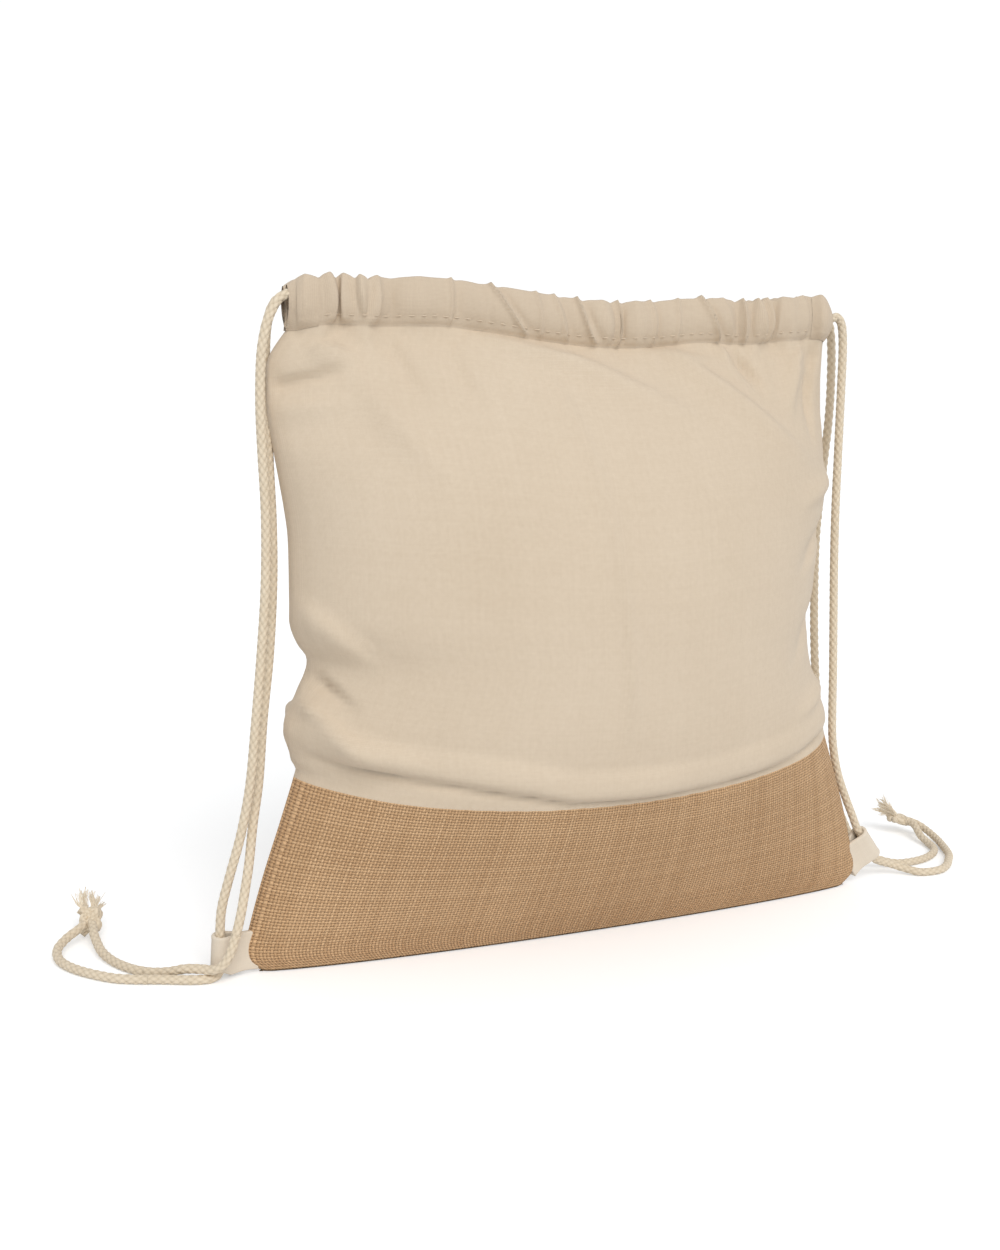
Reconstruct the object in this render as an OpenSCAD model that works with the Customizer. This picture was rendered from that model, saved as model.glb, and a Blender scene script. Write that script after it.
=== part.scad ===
// Drawstring backpack: cotton bag on a jute base band, with a corded channel round the mouth.
// Origin at the floor under the middle of the bag. +X runs along the width, the front faces -Y.

/* [Bag] */
// Width of the bag at the bottom corners
bag_w = 380; // [300:1:460]
// Width of the bag at the waist seam
waist_w = 318; // [265:1:385]
// Width of the gathered mouth
mouth_w = 310; // [260:1:375]
// Height of the standing bag, from the floor to the top of the channel
bag_h = 350; // [290:1:420]
// Height of the jute band at the side seams
jute_h = 101; // [80:1:125]
// Depth of the filled bag from the middle plane to the fullest part of one panel
belly = 76; // [50:1:95]
// Depth of the base from the middle plane to one panel
base_half_depth = 14; // [11:0.5:20]
// How far the waist seam dips in the middle of a panel
waist_dip = 16; // [5:1:25]
// How far each side swells past the mouth's width, below the channel
shoulder_swell = 7; // [2:0.5:12]
// How far each side swells and draws in again, above the waist seam
waist_swell = 3; // [0:0.5:6]
// Radius of the bottom corners
corner_r = 15; // [8:1:25]

/* [Fabric] */
// Thickness of the cotton panels
cotton_t = 1.6; // [1:0.1:2.4]
// Thickness of the jute panels
jute_t = 2; // [1.4:0.1:3]
// Thickness of the side seam between the panels
seam_t = 2; // [1:0.1:3]
// Width of the seam allowances
seam_allowance = 12; // [8:1:16]

/* [Channel] */
// Height of the channel
channel_h = 24; // [21:0.5:30]
// Thickness of the channel with the cords inside
channel_t = 8.4; // [7.8:0.1:10]
// Half of the mouth's opening, at the middle of the channel
mouth_half_depth = 15; // [13:0.5:30]
// How far the mouth sags in the middle
mouth_sag = 5; // [0:0.5:12]
// Length of the hemmed end of each channel
hem_l = 12; // [8:1:16]
// Distance between the stitches under the channel
stitch_pitch = 6; // [4:0.5:10]

/* [Cord] */
// Diameter of the cotton cord
cord_d = 4.6; // [3.8:0.1:5.2]
// Size of the knot across the cord
knot_d = 16; // [13:0.5:20]
// Length of each frayed end
tassel_l = 18; // [12:1:30]
// How far the frayed ends stand up from the floor, in degrees
tassel_lift = 35; // [0:5:45]

/* [Tab] */
// Height of the folded tab
tab_h = 18; // [14:1:24]
// How far the tab stands out from the side seam
tab_reach = 18; // [16:0.5:24]
// Fold of the right tab towards the back, in degrees
right_tab_fold = 10; // [0:5:30]
// Lean of the right tab's bore, in degrees: its foot stands further out than its top
right_tab_lean = 35; // [0:5:40]

/* [Hidden] */

cotton_colour = [0.85, 0.79, 0.70];
jute_colour = [0.72, 0.57, 0.40];
cord_colour = [0.90, 0.84, 0.74];

// Fits: the gap between neighbouring solids, the wall of a folded channel, and the tab's bore.
fit_gap = 0.4;
channel_wall = 1.2;
tab_wall = 1.4;
tab_play = 0.9;
tab_bore_r = cord_d / 2 + tab_play;
tab_outer_r = tab_bore_r + tab_wall;
tab_root = 3;
left_tab_z = 16;
right_tab_z = 16;
bottom_seam_t = 2;
stitch_l = 3;
stitch_t = 0.7;
stitch_bite = 0.2;
stitch_up = 5;
cord_sides = 8;
tassel_gap = 4.4;
tassel_splay = 8;

// Half widths of the silhouette, from the base up.
base_half = bag_w / 2;
waist_half = waist_w / 2;
top_half = mouth_w / 2;
cotton_top = bag_h - channel_h - fit_gap;
cotton_h = cotton_top - jute_h;
channel_mid_z = bag_h - channel_h / 2;
cord_level = 4.5;

// Each side runs in a line from the base to the waist, swells, and draws in to the mouth.
function side_points(base, waist, mouth, jute, top) = let (h = top - jute)
    [[0, base], [corner_r, base - 2], [jute, waist], [jute + 0.08 * h, waist + waist_swell],
        [jute + 0.25 * h, waist - waist_swell], [jute + 0.5 * h, waist],
        [jute + 0.82 * h, mouth + shoulder_swell], [jute + 0.96 * h, mouth + 1], [top, mouth],
        [top + channel_h, mouth]];
side_line = side_points(base_half, waist_half, top_half, jute_h, cotton_top);

// Half thickness of the bag at the middle of a panel, from the base up.
depth_line = [[0, base_half_depth], [jute_h * 0.4, belly * 0.52], [jute_h * 0.8, belly * 0.82],
    [jute_h + 0.15 * cotton_h, belly * 0.97], [jute_h + 0.4 * cotton_h, belly],
    [jute_h + 0.65 * cotton_h, belly * 0.84], [jute_h + 0.85 * cotton_h, belly * 0.5],
    [cotton_top, mouth_half_depth], [bag_h, mouth_half_depth]];

// Gap of the panels' mid surfaces from the middle plane at the side seams.
edge_low = seam_t / 2 + jute_t / 2;
edge_top = channel_t / 2 + fit_gap;
edge_line = [[0, edge_low], [cotton_top - 36, edge_low], [cotton_top, edge_top], [bag_h, edge_top]];

// A round corner at the bottom takes this much off the half width.
function corner_cut(z) = z >= corner_r ? 0 : corner_r - sqrt(corner_r * corner_r - pow(corner_r - z, 2));
function half_width(z) = lookup(z, side_line) - corner_cut(z);
// A filled panel is full almost to its sides, and flattens to a plain arc at the mouth.
fullness_line = [[0, 0.62], [cotton_top - 60, 0.62], [cotton_top, 1], [bag_h, 1]];
function lens(u, z) = pow(max(0, 1 - u * u), lookup(z, fullness_line));
function shell_depth(u, z) = let (edge = lookup(z, edge_line))
    edge + (lookup(z, depth_line) - edge) * lens(u, z);
function waist_z(u) = jute_h - waist_dip * (1 - u * u);
function cotton_top_z(u) = cotton_top - mouth_sag * (1 - u * u);
function channel_z(x) = channel_mid_z - mouth_sag * (1 - pow(x / top_half, 2));
function channel_depth(x) = shell_depth(x / top_half, cotton_top);

// Cord routes at the sides, from the channel's mouth to the tab, and along the floor to the knot.
// They are chosen for the first sizes below, and grown() moves them with the bag's sides.
first_base_half = 190;
first_line = side_points(first_base_half, 159, 155, 101, 325.6);
first_channel_mid_z = 338;
first_tab_centre = 13.4;
left_tabbed_points = [[-160, -5, 342.2], [-164.5, -5.4, 339.5], [-168, -5.6, 334],
    [-171, -5.8, 326], [-173.6, -6, 312], [-174.5, -5.5, 290], [-174, -5, 267], [-173, -5, 235],
    [-174, -5, 200], [-177, -5, 165], [-180.5, -5, 132], [-184, -4, 100], [-189, -3, 75],
    [-194.5, -1.4, 55], [-199, -0.3, 38], [-200.4, 0, 26], [-200.4, 0, 15]];
left_free_points = [[-159.5, 5, 342], [-163.5, 5.2, 339], [-166.5, 5.2, 333], [-168.6, 4.6, 323],
    [-169.4, 3.6, 305], [-169.2, 3, 285], [-168.8, 3, 260], [-168, 3, 230], [-168.5, 3, 200],
    [-171, 3, 165], [-175, 3, 132], [-178, 3, 100], [-182, 1, 78], [-185.5, -4, 60],
    [-189, -8, 46], [-192, -11, 35], [-195, -13, 26]];
left_tail_tabbed_points = [[-200.4, 0, 15], [-200.4, 0, 10], [-200.5, -0.2, 7.6],
    [-201.2, -1.8, 5], [-203.8, -4.8, 3], [-208, -6.2, 2.4], [-216, -4.5, 2.4], [-230, 2, 2.4],
    [-245, 8.5, 2.4], [-255, 15.5, 2.4], [-268, 31, 2.4], [-275, 46, 2.6], [-275.5, 59, 4],
    [-270, 69, 6], [-263, 75.5, 8]];
left_tail_free_points = [[-195, -13, 26], [-198, -14, 18], [-201.5, -13, 11.5], [-206, -9.5, 8],
    [-211, -4.5, 7.4], [-218, 1.5, 6.4], [-226, 8, 3.6], [-234, 14, 2.4], [-242, 22, 2.4],
    [-249, 35, 2.4], [-253.5, 48, 3.4], [-255, 60, 5.2], [-255.5, 69, 7.3], [-255, 76, 8.3]];
right_tabbed_points = [[160, -5, 332.5], [163.5, -4.6, 328], [165, -3.5, 318], [165.5, -2.5, 300],
    [165.8, -1.6, 280], [165.8, -1.2, 260], [165.5, -1, 230], [166.5, 0, 200], [167.5, 0, 165],
    [168.5, 0, 132], [169.2, 0.4, 110], [170.4, 0.6, 90], [174.6, 0.6, 71], [181, 0.3, 54.5],
    [186, 0.2, 43.5], [189.7, 0.5, 35.4], [192.4, 0.95, 31.5], [197.8, 1.9, 23.7],
    [203.7, 2.95, 15.1]];
right_free_points = [[160, 5.5, 332.5], [163.5, 7, 328], [166, 8.5, 318], [166.8, 9.5, 300],
    [167, 11, 280], [166.8, 14, 257], [166, 16.5, 230], [166, 18.5, 205], [167, 19, 165],
    [169, 19, 132], [172, 19, 105], [176, 19, 80], [183, 19.5, 58], [191, 19.5, 40],
    [198, 19.5, 26]];
right_tail_tabbed_points = [[203.7, 2.95, 15.1], [206, 3.3, 12.4], [211, 4, 9.8], [219.5, 4, 7],
    [227, 1, 4.4], [236, -5, 2.4], [249, -6, 2.4], [260, 0, 2.4], [268, 8, 2.4], [276, 17, 2.4],
    [283.5, 31, 2.6], [289, 45, 3.6], [291.5, 58, 5.5], [291, 66, 7.4], [289, 71.5, 8.5]];
right_tail_free_points = [[198, 19.5, 26], [203, 20, 18], [211, 19.5, 10.5], [222, 17, 5.4],
    [233, 14.5, 2.8], [246, 14.5, 2.4], [258, 17.5, 2.4], [269, 24, 2.4], [276, 32, 2.4],
    [279.5, 42, 2.8], [281, 51, 4.6], [283.2, 57.5, 6.6], [285, 62.5, 8.2]];
knot_fat = knot_d * 0.3;
knot_rise = knot_d / 2 * cos(tassel_lift) + knot_fat * sin(tassel_lift) + fit_gap;
left_knot_at = [-256, 84, knot_rise];
right_knot_at = [283, 77, knot_rise];
left_knot_turn = 80;
right_knot_turn = 155;

// Below the tab a point moves with the base and the tab's bore, above it with the side at its
// own height, and at the top it keeps its distance from the middle of the channel.
height_line = [[-bag_h, -bag_h], [30, 30], [first_channel_mid_z - 18, channel_mid_z - 18],
    [first_channel_mid_z + bag_h, channel_mid_z + bag_h]];
function tab_shift(x) = (tab_reach - tab_outer_r - first_tab_centre) / cos(x < 0 ? 0 : right_tab_lean);
function grown(p) = let (z = lookup(p.z, height_line), k = min(1, max(0, (p.z - 40) / 30)),
    low = base_half - first_base_half + tab_shift(p.x),
    high = lookup(z, side_line) - lookup(p.z, first_line))
    [p.x + sign(p.x) * ((1 - k) * low + k * high), p.y, z];
function grown_route(route) = [for (p = route) grown(p)];

// Cord runs: each goes along the front channel, round the far corner and back.
function run_point(x, side, level) = [x, side * channel_depth(x), channel_z(x) + level];
function run_route(end, level) = let (reach = top_half, steps = 11, far = -end * reach)
    concat([for (i = [0 : steps]) run_point(end * reach * (1 - 2 * i / steps), -1, level)],
        [[far * 1.03, -4, channel_mid_z + level], [far * 1.05, 0, channel_mid_z + level],
            [far * 1.03, 4, channel_mid_z + level]],
        [for (i = [steps : -1 : 0]) run_point(end * reach * (1 - 2 * i / steps), 1, level)]);

// Each strap starts where its cord leaves the channel.
function strap_route(end, side, level, points) = concat([run_point(end * top_half, side, level)],
    grown_route(points));
left_run = run_route(-1, cord_level);
right_run = run_route(1, -cord_level);
left_tabbed = strap_route(-1, -1, cord_level, left_tabbed_points);
left_free = strap_route(-1, 1, cord_level, left_free_points);
right_tabbed = strap_route(1, -1, -cord_level, right_tabbed_points);
right_free = strap_route(1, 1, -cord_level, right_free_points);
left_tail_tabbed = grown_route(left_tail_tabbed_points);
left_tail_free = grown_route(left_tail_free_points);
right_tail_tabbed = grown_route(right_tail_tabbed_points);
right_tail_free = grown_route(right_tail_free_points);
function from_end(route, i) = route[len(route) - 1 - i];

// Direction of a route at point i, and a sweep of one outline along it. Where two lengths of a
// cord meet, both take their direction from the points on either side, so their ends lie flat
// on each other: before and after are the neighbours' points.
function unit(v) = v / norm(v);
function heading(route, i, before, after) = unit(
    (i < len(route) - 1 ? route[i + 1] : is_undef(after) ? route[i] : after)
    - (i > 0 ? route[i - 1] : is_undef(before) ? route[i] : before));
function tube_ring(route, h, i, r, sides, up) = let (a = unit(cross(h, up)), b = cross(a, h))
    [for (s = [0 : sides - 1]) route[i] + r * (cos(360 * s / sides) * a + sin(360 * s / sides) * b)];

// Closed faces over rings of n points each.
function ring_faces(rings, n) = [for (i = [0 : rings - 2], j = [0 : n - 1]) let (k = (j + 1) % n)
    each [[i * n + j, i * n + k, (i + 1) * n + j], [i * n + k, (i + 1) * n + k, (i + 1) * n + j]]];
function end_faces(rings, n) = [[for (j = [n - 1 : -1 : 0]) j], [for (j = [0 : n - 1]) (rings - 1) * n + j]];

module tube(route, d, sides, up, before, after) {
    rings = len(route);
    points = [for (i = [0 : rings - 1])
        each tube_ring(route, heading(route, i, before, after), i, d / 2, sides, up)];
    polyhedron(points, concat(ring_faces(rings, sides), end_faces(rings, sides)), convexity = 6);
}

// A round-cornered outline of half size a by b, with 4 points at each corner.
function round_box(a, b, r) = [for (q = [0 : 3], s = [0 : 3]) let (t = q * 90 + s * 30,
    cx = (q == 0 || q == 3 ? 1 : -1) * (a - r), cz = (q < 2 ? 1 : -1) * (b - r))
    [cx + r * cos(t), cz + r * sin(t)]];

// A hollow sleeve along a level route: its outline is upright and square to the route.
module sleeve(route, outer, inner) {
    rings = len(route);
    n = len(outer);
    function placed(i, outline) = let (h = heading(route, i), a = unit([h.y, -h.x, 0]))
        [for (p = outline) route[i] + p[0] * a + [0, 0, p[1]]];
    outside = [for (i = [0 : rings - 1]) each placed(i, outer)];
    inside = [for (i = [0 : rings - 1]) each placed(i, inner)];
    base = rings * n;
    walls = ring_faces(rings, n);
    bores = [for (f = walls) [f[0] + base, f[2] + base, f[1] + base]];
    last = (rings - 1) * n;
    rims = [for (j = [0 : n - 1]) let (k = (j + 1) % n)
        each [[j, base + j, k], [k, base + j, base + k],
            [last + j, last + k, last + base + j], [last + k, last + base + k, last + base + j]]];
    polyhedron(concat(outside, inside), concat(walls, bores, rims), convexity = 8);
}

// A fabric wall that follows the bag's shell: side is -1 for the front and 1 for the back.
// low and high give its height at each u, and inset is how far it lies inside the shell.
module wall(side, rows, low, high, thick, inset) {
    columns = 26;
    n = columns + 1;
    count = len(rows) * n;
    function place(i, row, out) = let (u = -1 + 2 * i / columns, z = low(u) + (high(u) - low(u)) * row)
        [half_width(z) * u, side * (shell_depth(u, z) - inset + out), z];
    outer = [for (row = rows, i = [0 : columns]) place(i, row, thick / 2)];
    inner = [for (row = rows, i = [0 : columns]) place(i, row, -thick / 2)];
    skin = [for (r = [0 : len(rows) - 2], i = [0 : columns - 1]) let (a = r * n + i)
        each [[a, a + n, a + 1], [a + 1, a + n, a + n + 1]]];
    lining = [for (f = skin) [f[0] + count, f[2] + count, f[1] + count]];
    edge = concat([for (i = [0 : columns]) i], [for (r = [1 : len(rows) - 1]) r * n + columns],
        [for (i = [columns - 1 : -1 : 0]) count - n + i], [for (r = [len(rows) - 2 : -1 : 1]) r * n]);
    m = len(edge);
    rim = [for (j = [0 : m - 1]) let (p = edge[j], q = edge[(j + 1) % m])
        each [[p, q, p + count], [q, q + count, p + count]]];
    faces = concat(skin, lining, rim);
    polyhedron(concat(outer, inner), side < 0 ? faces : [for (f = faces) [f[0], f[2], f[1]]], convexity = 6);
}

jute_rows = [0, 0.03, 0.07, 0.12, 0.19, 0.3, 0.42, 0.55, 0.68, 0.76, 0.84, 0.92, 1];
cotton_rows = [for (i = [0 : 20]) pow(i / 20, 1.15)];
seam_rows = [0, 0.5, 1];
floor_z = function (u) 0;
waist = function (u) waist_z(u);
mouth = function (u) cotton_top_z(u);
waist_low = function (u) waist_z(u) - seam_allowance / 2;
waist_high = function (u) waist_z(u) + seam_allowance / 2;

module jute_panel(side) {
    color(jute_colour) wall(side, jute_rows, floor_z, waist, jute_t, 0);
}

module cotton_panel(side) {
    color(cotton_colour) wall(side, cotton_rows, waist, mouth, cotton_t, 0);
}

// The turned-in allowance that joins cotton and jute lies against the inside of the panels.
module waist_seam(side) {
    inset = jute_t + 2 * fit_gap;
    color(jute_colour) intersection() {
        wall(side, seam_rows, waist_low, waist_high, jute_t, inset);
        translate([0, side * belly, jute_h])
            cube([2 * waist_half - 2 * seam_allowance - 6, 2 * belly - 2 * seam_t, jute_h], center = true);
    }
}

// The side allowances stand upright between the edges of the front and back panels.
module side_seam(side) {
    steps = 14;
    heights = [for (i = [0 : steps]) bottom_seam_t + (cotton_top - bottom_seam_t) * pow(i / steps, 1.5)];
    outer = [for (z = heights) [side * half_width(z), z]];
    inner = [for (i = [steps : -1 : 0]) [side * (half_width(heights[i]) - seam_allowance), heights[i]]];
    color(cotton_colour) translate([0, seam_t / 2, 0]) rotate([90, 0, 0])
        linear_extrude(seam_t) polygon(concat(outer, inner));
}

// The bottom allowance closes the lens between the two jute panels and is what the bag stands on.
module bottom_seam() {
    steps = 24;
    inside = jute_t / 2;
    function rim(i, side) = let (u = -1 + 2 * i / steps)
        [half_width(0) * u, side * (shell_depth(u, 0) - inside)];
    color(jute_colour) linear_extrude(bottom_seam_t)
        polygon(concat([for (i = [0 : steps]) rim(i, -1)], [for (i = [steps : -1 : 0]) rim(i, 1)]));
}

outer_outline = round_box(channel_t / 2, channel_h / 2, 3.6);
inner_outline = round_box(channel_t / 2 - channel_wall, channel_h / 2 - channel_wall, 2.4);
function channel_point(x, side) = [x, side * channel_depth(x), channel_z(x)];

module channel(side) {
    reach = top_half - hem_l - fit_gap;
    steps = 22;
    color(cotton_colour)
        sleeve([for (i = [0 : steps]) channel_point(reach * (2 * i / steps - 1), side)],
            outer_outline, inner_outline);
}

// The folded end of each channel: the mouth that the cords come out of, front and back.
module channel_hem(end) {
    near = top_half - hem_l;
    color(cotton_colour) for (side = [-1, 1])
        sleeve([for (i = [0 : 3]) channel_point(end * (near + hem_l * i / 3), side)],
            outer_outline, inner_outline);
}

module channel_stitching(side) {
    reach = top_half - hem_l - stitch_pitch;
    count = floor(2 * reach / stitch_pitch);
    color(cord_colour) for (i = [0 : count]) {
        x = (i - count / 2) * stitch_pitch;
        slope = channel_depth(x + 1) - channel_depth(x - 1);
        proud = channel_t / 2 + stitch_t / 2 - stitch_bite;
        translate([x, side * (channel_depth(x) + proud), channel_z(x) - channel_h / 2 + stitch_up])
            rotate([0, 0, side * atan(slope / 2)])
                cube([stitch_l, stitch_t, stitch_t], center = true);
    }
}

// A strip folded round the cord, with its ends in the side seam. Its bore leans with it.
module tab(end, mid_z, fold, lean) {
    start = tab_root + fit_gap;
    centre = tab_reach - tab_outer_r;
    color(cotton_colour) translate([end * (base_half - tab_root), 0, mid_z])
        mirror([end < 0 ? 1 : 0, 0, 0]) rotate([0, -lean, fold])
            translate([0, 0, -tab_h / 2]) difference() {
                linear_extrude(tab_h) union() {
                    translate([centre, 0]) circle(tab_outer_r, $fn = 40);
                    polygon([[start, -seam_t / 2], [centre, -tab_outer_r],
                        [centre, tab_outer_r], [start, seam_t / 2]]);
                }
                translate([centre, 0, -1]) cylinder(h = tab_h + 2, r = tab_bore_r, $fn = 40);
            }
}

module cord_run(run, tabbed, free) {
    color(cord_colour) tube(run, cord_d, cord_sides, [0, 0, 1], tabbed[1], free[1]);
}

module strap(route, before, tail) {
    color(cord_colour) tube(route, cord_d, cord_sides, [0, 1, 0], before, tail[1]);
}

module tail(route, strap) {
    color(cord_colour) tube(route, cord_d, cord_sides, [0.9, 1.7, 3.1], from_end(strap, 1));
}

// Both ends of a cord tied together in one overhand knot: a fat ring with a filled eye.
module knot(at, turn) {
    color(cord_colour) translate(grown(at)) rotate([0, 90 - tassel_lift, turn])
        rotate_extrude($fn = 36) intersection() {
            union() {
                translate([knot_d / 2 - knot_fat, 0]) circle(knot_fat, $fn = 24);
                square([knot_d - 2 * knot_fat, knot_fat * 1.6], center = true);
            }
            translate([0, -knot_d / 2]) square([knot_d / 2, knot_d]);
        }
}

// The two frayed ends start at the knot's face and spread.
module tassel(at, turn) {
    color(cord_colour) translate(grown(at)) rotate([0, -tassel_lift, turn]) for (side = [-1, 1])
        translate([knot_fat + fit_gap, side * tassel_gap, 0]) rotate([0, 90, side * tassel_splay])
            cylinder(h = tassel_l, r1 = 2.4, r2 = 4.6, $fn = 24);
}

jute_panel(-1);  // jute_front
jute_panel(1);  // jute_back
cotton_panel(-1);  // cotton_front
cotton_panel(1);  // cotton_back
waist_seam(-1);  // front_waist_seam
waist_seam(1);  // back_waist_seam
side_seam(-1);  // left_side_seam
side_seam(1);  // right_side_seam
bottom_seam();
channel(-1);  // front_channel
channel(1);  // back_channel
channel_stitching(-1);  // front_channel_stitching
channel_stitching(1);  // back_channel_stitching
channel_hem(-1);  // left_channel_hem
channel_hem(1);  // right_channel_hem
tab(-1, left_tab_z, 0, 0);  // left_tab
tab(1, right_tab_z, right_tab_fold, right_tab_lean);  // right_tab
cord_run(left_run, left_tabbed, left_free);  // left_cord_run
cord_run(right_run, right_tabbed, right_free);  // right_cord_run
strap(left_tabbed, left_run[1], left_tail_tabbed);  // left_strap_tabbed
strap(left_free, from_end(left_run, 1), left_tail_free);  // left_strap_free
strap(right_tabbed, right_run[1], right_tail_tabbed);  // right_strap_tabbed
strap(right_free, from_end(right_run, 1), right_tail_free);  // right_strap_free
tail(left_tail_tabbed, left_tabbed);
tail(left_tail_free, left_free);
tail(right_tail_tabbed, right_tabbed);
tail(right_tail_free, right_free);
knot(left_knot_at, left_knot_turn);  // left_knot
knot(right_knot_at, right_knot_turn);  // right_knot
tassel(left_knot_at, left_knot_turn);  // left_tassel
tassel(right_knot_at, right_knot_turn);  // right_tassel
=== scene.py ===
# %% [markdown]
# # A cotton drawstring backpack with a jute base band
# The bag stands filled on its bottom seam. Two cords close its mouth, hang down its sides as
# shoulder straps, pass the corner tabs and end in knots with frayed tassels. The frame gives every
# size and place in metres, and each piece below is made where its CAD solid lies.

# %% Load the frame
import math
import random
import bpy
import numpy as np
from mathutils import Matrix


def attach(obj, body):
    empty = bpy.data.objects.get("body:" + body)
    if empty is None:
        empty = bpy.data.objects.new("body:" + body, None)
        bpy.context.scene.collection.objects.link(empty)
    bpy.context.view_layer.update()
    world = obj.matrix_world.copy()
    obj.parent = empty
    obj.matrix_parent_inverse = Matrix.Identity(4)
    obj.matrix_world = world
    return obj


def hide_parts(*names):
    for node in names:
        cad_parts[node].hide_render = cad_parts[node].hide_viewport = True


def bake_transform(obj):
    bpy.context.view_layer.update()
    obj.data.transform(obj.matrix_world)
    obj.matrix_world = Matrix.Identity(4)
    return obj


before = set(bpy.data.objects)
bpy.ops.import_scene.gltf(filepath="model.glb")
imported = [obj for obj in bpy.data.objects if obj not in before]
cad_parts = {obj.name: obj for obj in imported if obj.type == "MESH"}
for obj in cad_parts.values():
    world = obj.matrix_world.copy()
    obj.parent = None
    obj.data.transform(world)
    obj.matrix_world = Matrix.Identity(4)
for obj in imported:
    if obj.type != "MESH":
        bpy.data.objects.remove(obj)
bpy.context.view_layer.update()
MM = 0.001
print("nodes in the frame:", len(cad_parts))

# %% [markdown]
# ## The camera
# It stands a little to the left of the bag and just under the height of the mouth, and looks
# slightly down, so the left side is nearer and the mouth can't be seen into.

# %% Camera
LOOK_DOWN = 8.3
TURN_RIGHT = 22.4
camera_data = bpy.data.cameras.new("camera")
camera = bpy.data.objects.new("camera", camera_data)
bpy.context.collection.objects.link(camera)
camera.location = (-0.3314, -0.6916, 0.2824)
camera.rotation_euler = (math.radians(90 - LOOK_DOWN), 0, math.radians(-TURN_RIGHT))
camera_data.lens = 40.7
camera_data.sensor_width = 36
bpy.context.scene.camera = camera
print("camera at", tuple(camera.location))

# %% [markdown]
# ## Cord routes
# Each cord end is one line of listed points: out of the channel, down the side, through or
# past the tab, and along the floor to the knot. The points are the ones that the CAD cords follow,
# in millimetres, so the soft cords lie where the solids do.

# %% Cord routes
CORD_D = 0.0046
strap_routes = {
    ("left", "tabbed"): [
        (-155, -4.6, 342.5), (-160, -5, 342.2), (-164.5, -5.4, 339.5), (-168, -5.6, 334),
        (-171, -5.8, 326), (-173.6, -6, 312), (-174.5, -5.5, 290), (-174, -5, 267),
        (-173, -5, 235), (-174, -5, 200), (-177, -5, 165), (-180.5, -5, 132), (-184, -4, 100),
        (-189, -3, 75), (-194.5, -1.4, 55), (-199, -0.3, 38), (-200.4, 0, 26), (-200.4, 0, 15)],
    ("left", "free"): [
        (-155, 4.6, 342.5), (-159.5, 5, 342), (-163.5, 5.2, 339), (-166.5, 5.2, 333),
        (-168.6, 4.6, 323), (-169.4, 3.6, 305), (-169.2, 3, 285), (-168.8, 3, 260),
        (-168, 3, 230), (-168.5, 3, 200), (-171, 3, 165), (-175, 3, 132), (-178, 3, 100),
        (-182, 1, 78), (-185.5, -4, 60), (-189, -8, 46), (-192, -11, 35), (-195, -13, 26)],
    ("right", "tabbed"): [
        (155, -4.6, 338.5), (159, -4.9, 339.6), (162.8, -4.7, 335), (164.8, -3.7, 322),
        (165.5, -2.5, 300), (165.8, -1.6, 280), (165.8, -1.2, 260), (165.5, -1, 230),
        (166.5, 0, 200), (167.5, 0, 165), (168.5, 0, 132), (169.2, 0.4, 110), (170.4, 0.6, 90),
        (174.6, 0.6, 71), (181, 0.3, 54.5), (186, 0.2, 43.5), (189.7, 0.5, 35.4),
        (192.4, 0.95, 31.5), (197.8, 1.9, 23.7), (203.7, 2.95, 15.1)],
    ("right", "free"): [
        (155, 4.6, 338.5), (159, 5.4, 339.6), (162.8, 6.8, 335), (165.5, 8.2, 322),
        (166.8, 9.5, 300), (167, 11, 280), (166.8, 14, 257), (166, 16.5, 230), (166, 18.5, 205),
        (167, 19, 165), (169, 19, 132), (172, 19, 105), (176, 19, 80), (183, 19.5, 58),
        (191, 19.5, 40), (198, 19.5, 26)],
}
tail_routes = {
    ("left", "tabbed"): [
        (-200.4, 0, 10), (-200.5, -0.2, 7.6), (-201.2, -1.8, 5), (-203.8, -4.8, 3),
        (-208, -6.2, 2.4), (-216, -4.5, 2.4), (-230, 2, 2.4), (-245, 8.5, 2.4), (-255, 15.5, 2.4),
        (-268, 31, 2.4), (-275, 46, 2.6), (-275.5, 59, 4), (-270, 69, 6), (-263, 75.5, 8),
        (-259.5, 79.5, 9)],
    ("left", "free"): [
        (-198, -14, 18), (-201.5, -13, 11.5), (-206, -9.5, 8), (-211, -4.5, 7.4),
        (-218, 1.5, 6.4), (-226, 8, 3.6), (-234, 14, 2.4), (-242, 22, 2.4), (-249, 35, 2.4),
        (-253.5, 48, 3.4), (-255, 60, 5.2), (-255.5, 69, 7.3), (-255, 76, 8.3),
        (-255.5, 80.5, 9.2)],
    ("right", "tabbed"): [
        (206, 3.3, 12.4), (211, 4, 9.8), (219.5, 4, 7), (227, 1, 4.4), (236, -5, 2.4),
        (249, -6, 2.4), (260, 0, 2.4), (268, 8, 2.4), (276, 17, 2.4), (283.5, 31, 2.6),
        (289, 45, 3.6), (291.5, 58, 5.5), (291, 66, 7.4), (289, 71.5, 8.5), (286, 75.4, 9.2)],
    ("right", "free"): [
        (203, 20, 18), (211, 19.5, 10.5), (222, 17, 5.4), (233, 14.5, 2.8), (246, 14.5, 2.4),
        (258, 17.5, 2.4), (269, 24, 2.4), (276, 32, 2.4), (279.5, 42, 2.8), (281, 51, 4.6),
        (283.2, 57.5, 6.6), (285, 62.5, 8.2), (286, 68.5, 9), (284.5, 73.5, 9.4)],
}
print("routes:", len(strap_routes), "straps and", len(tail_routes), "tails")
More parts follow.
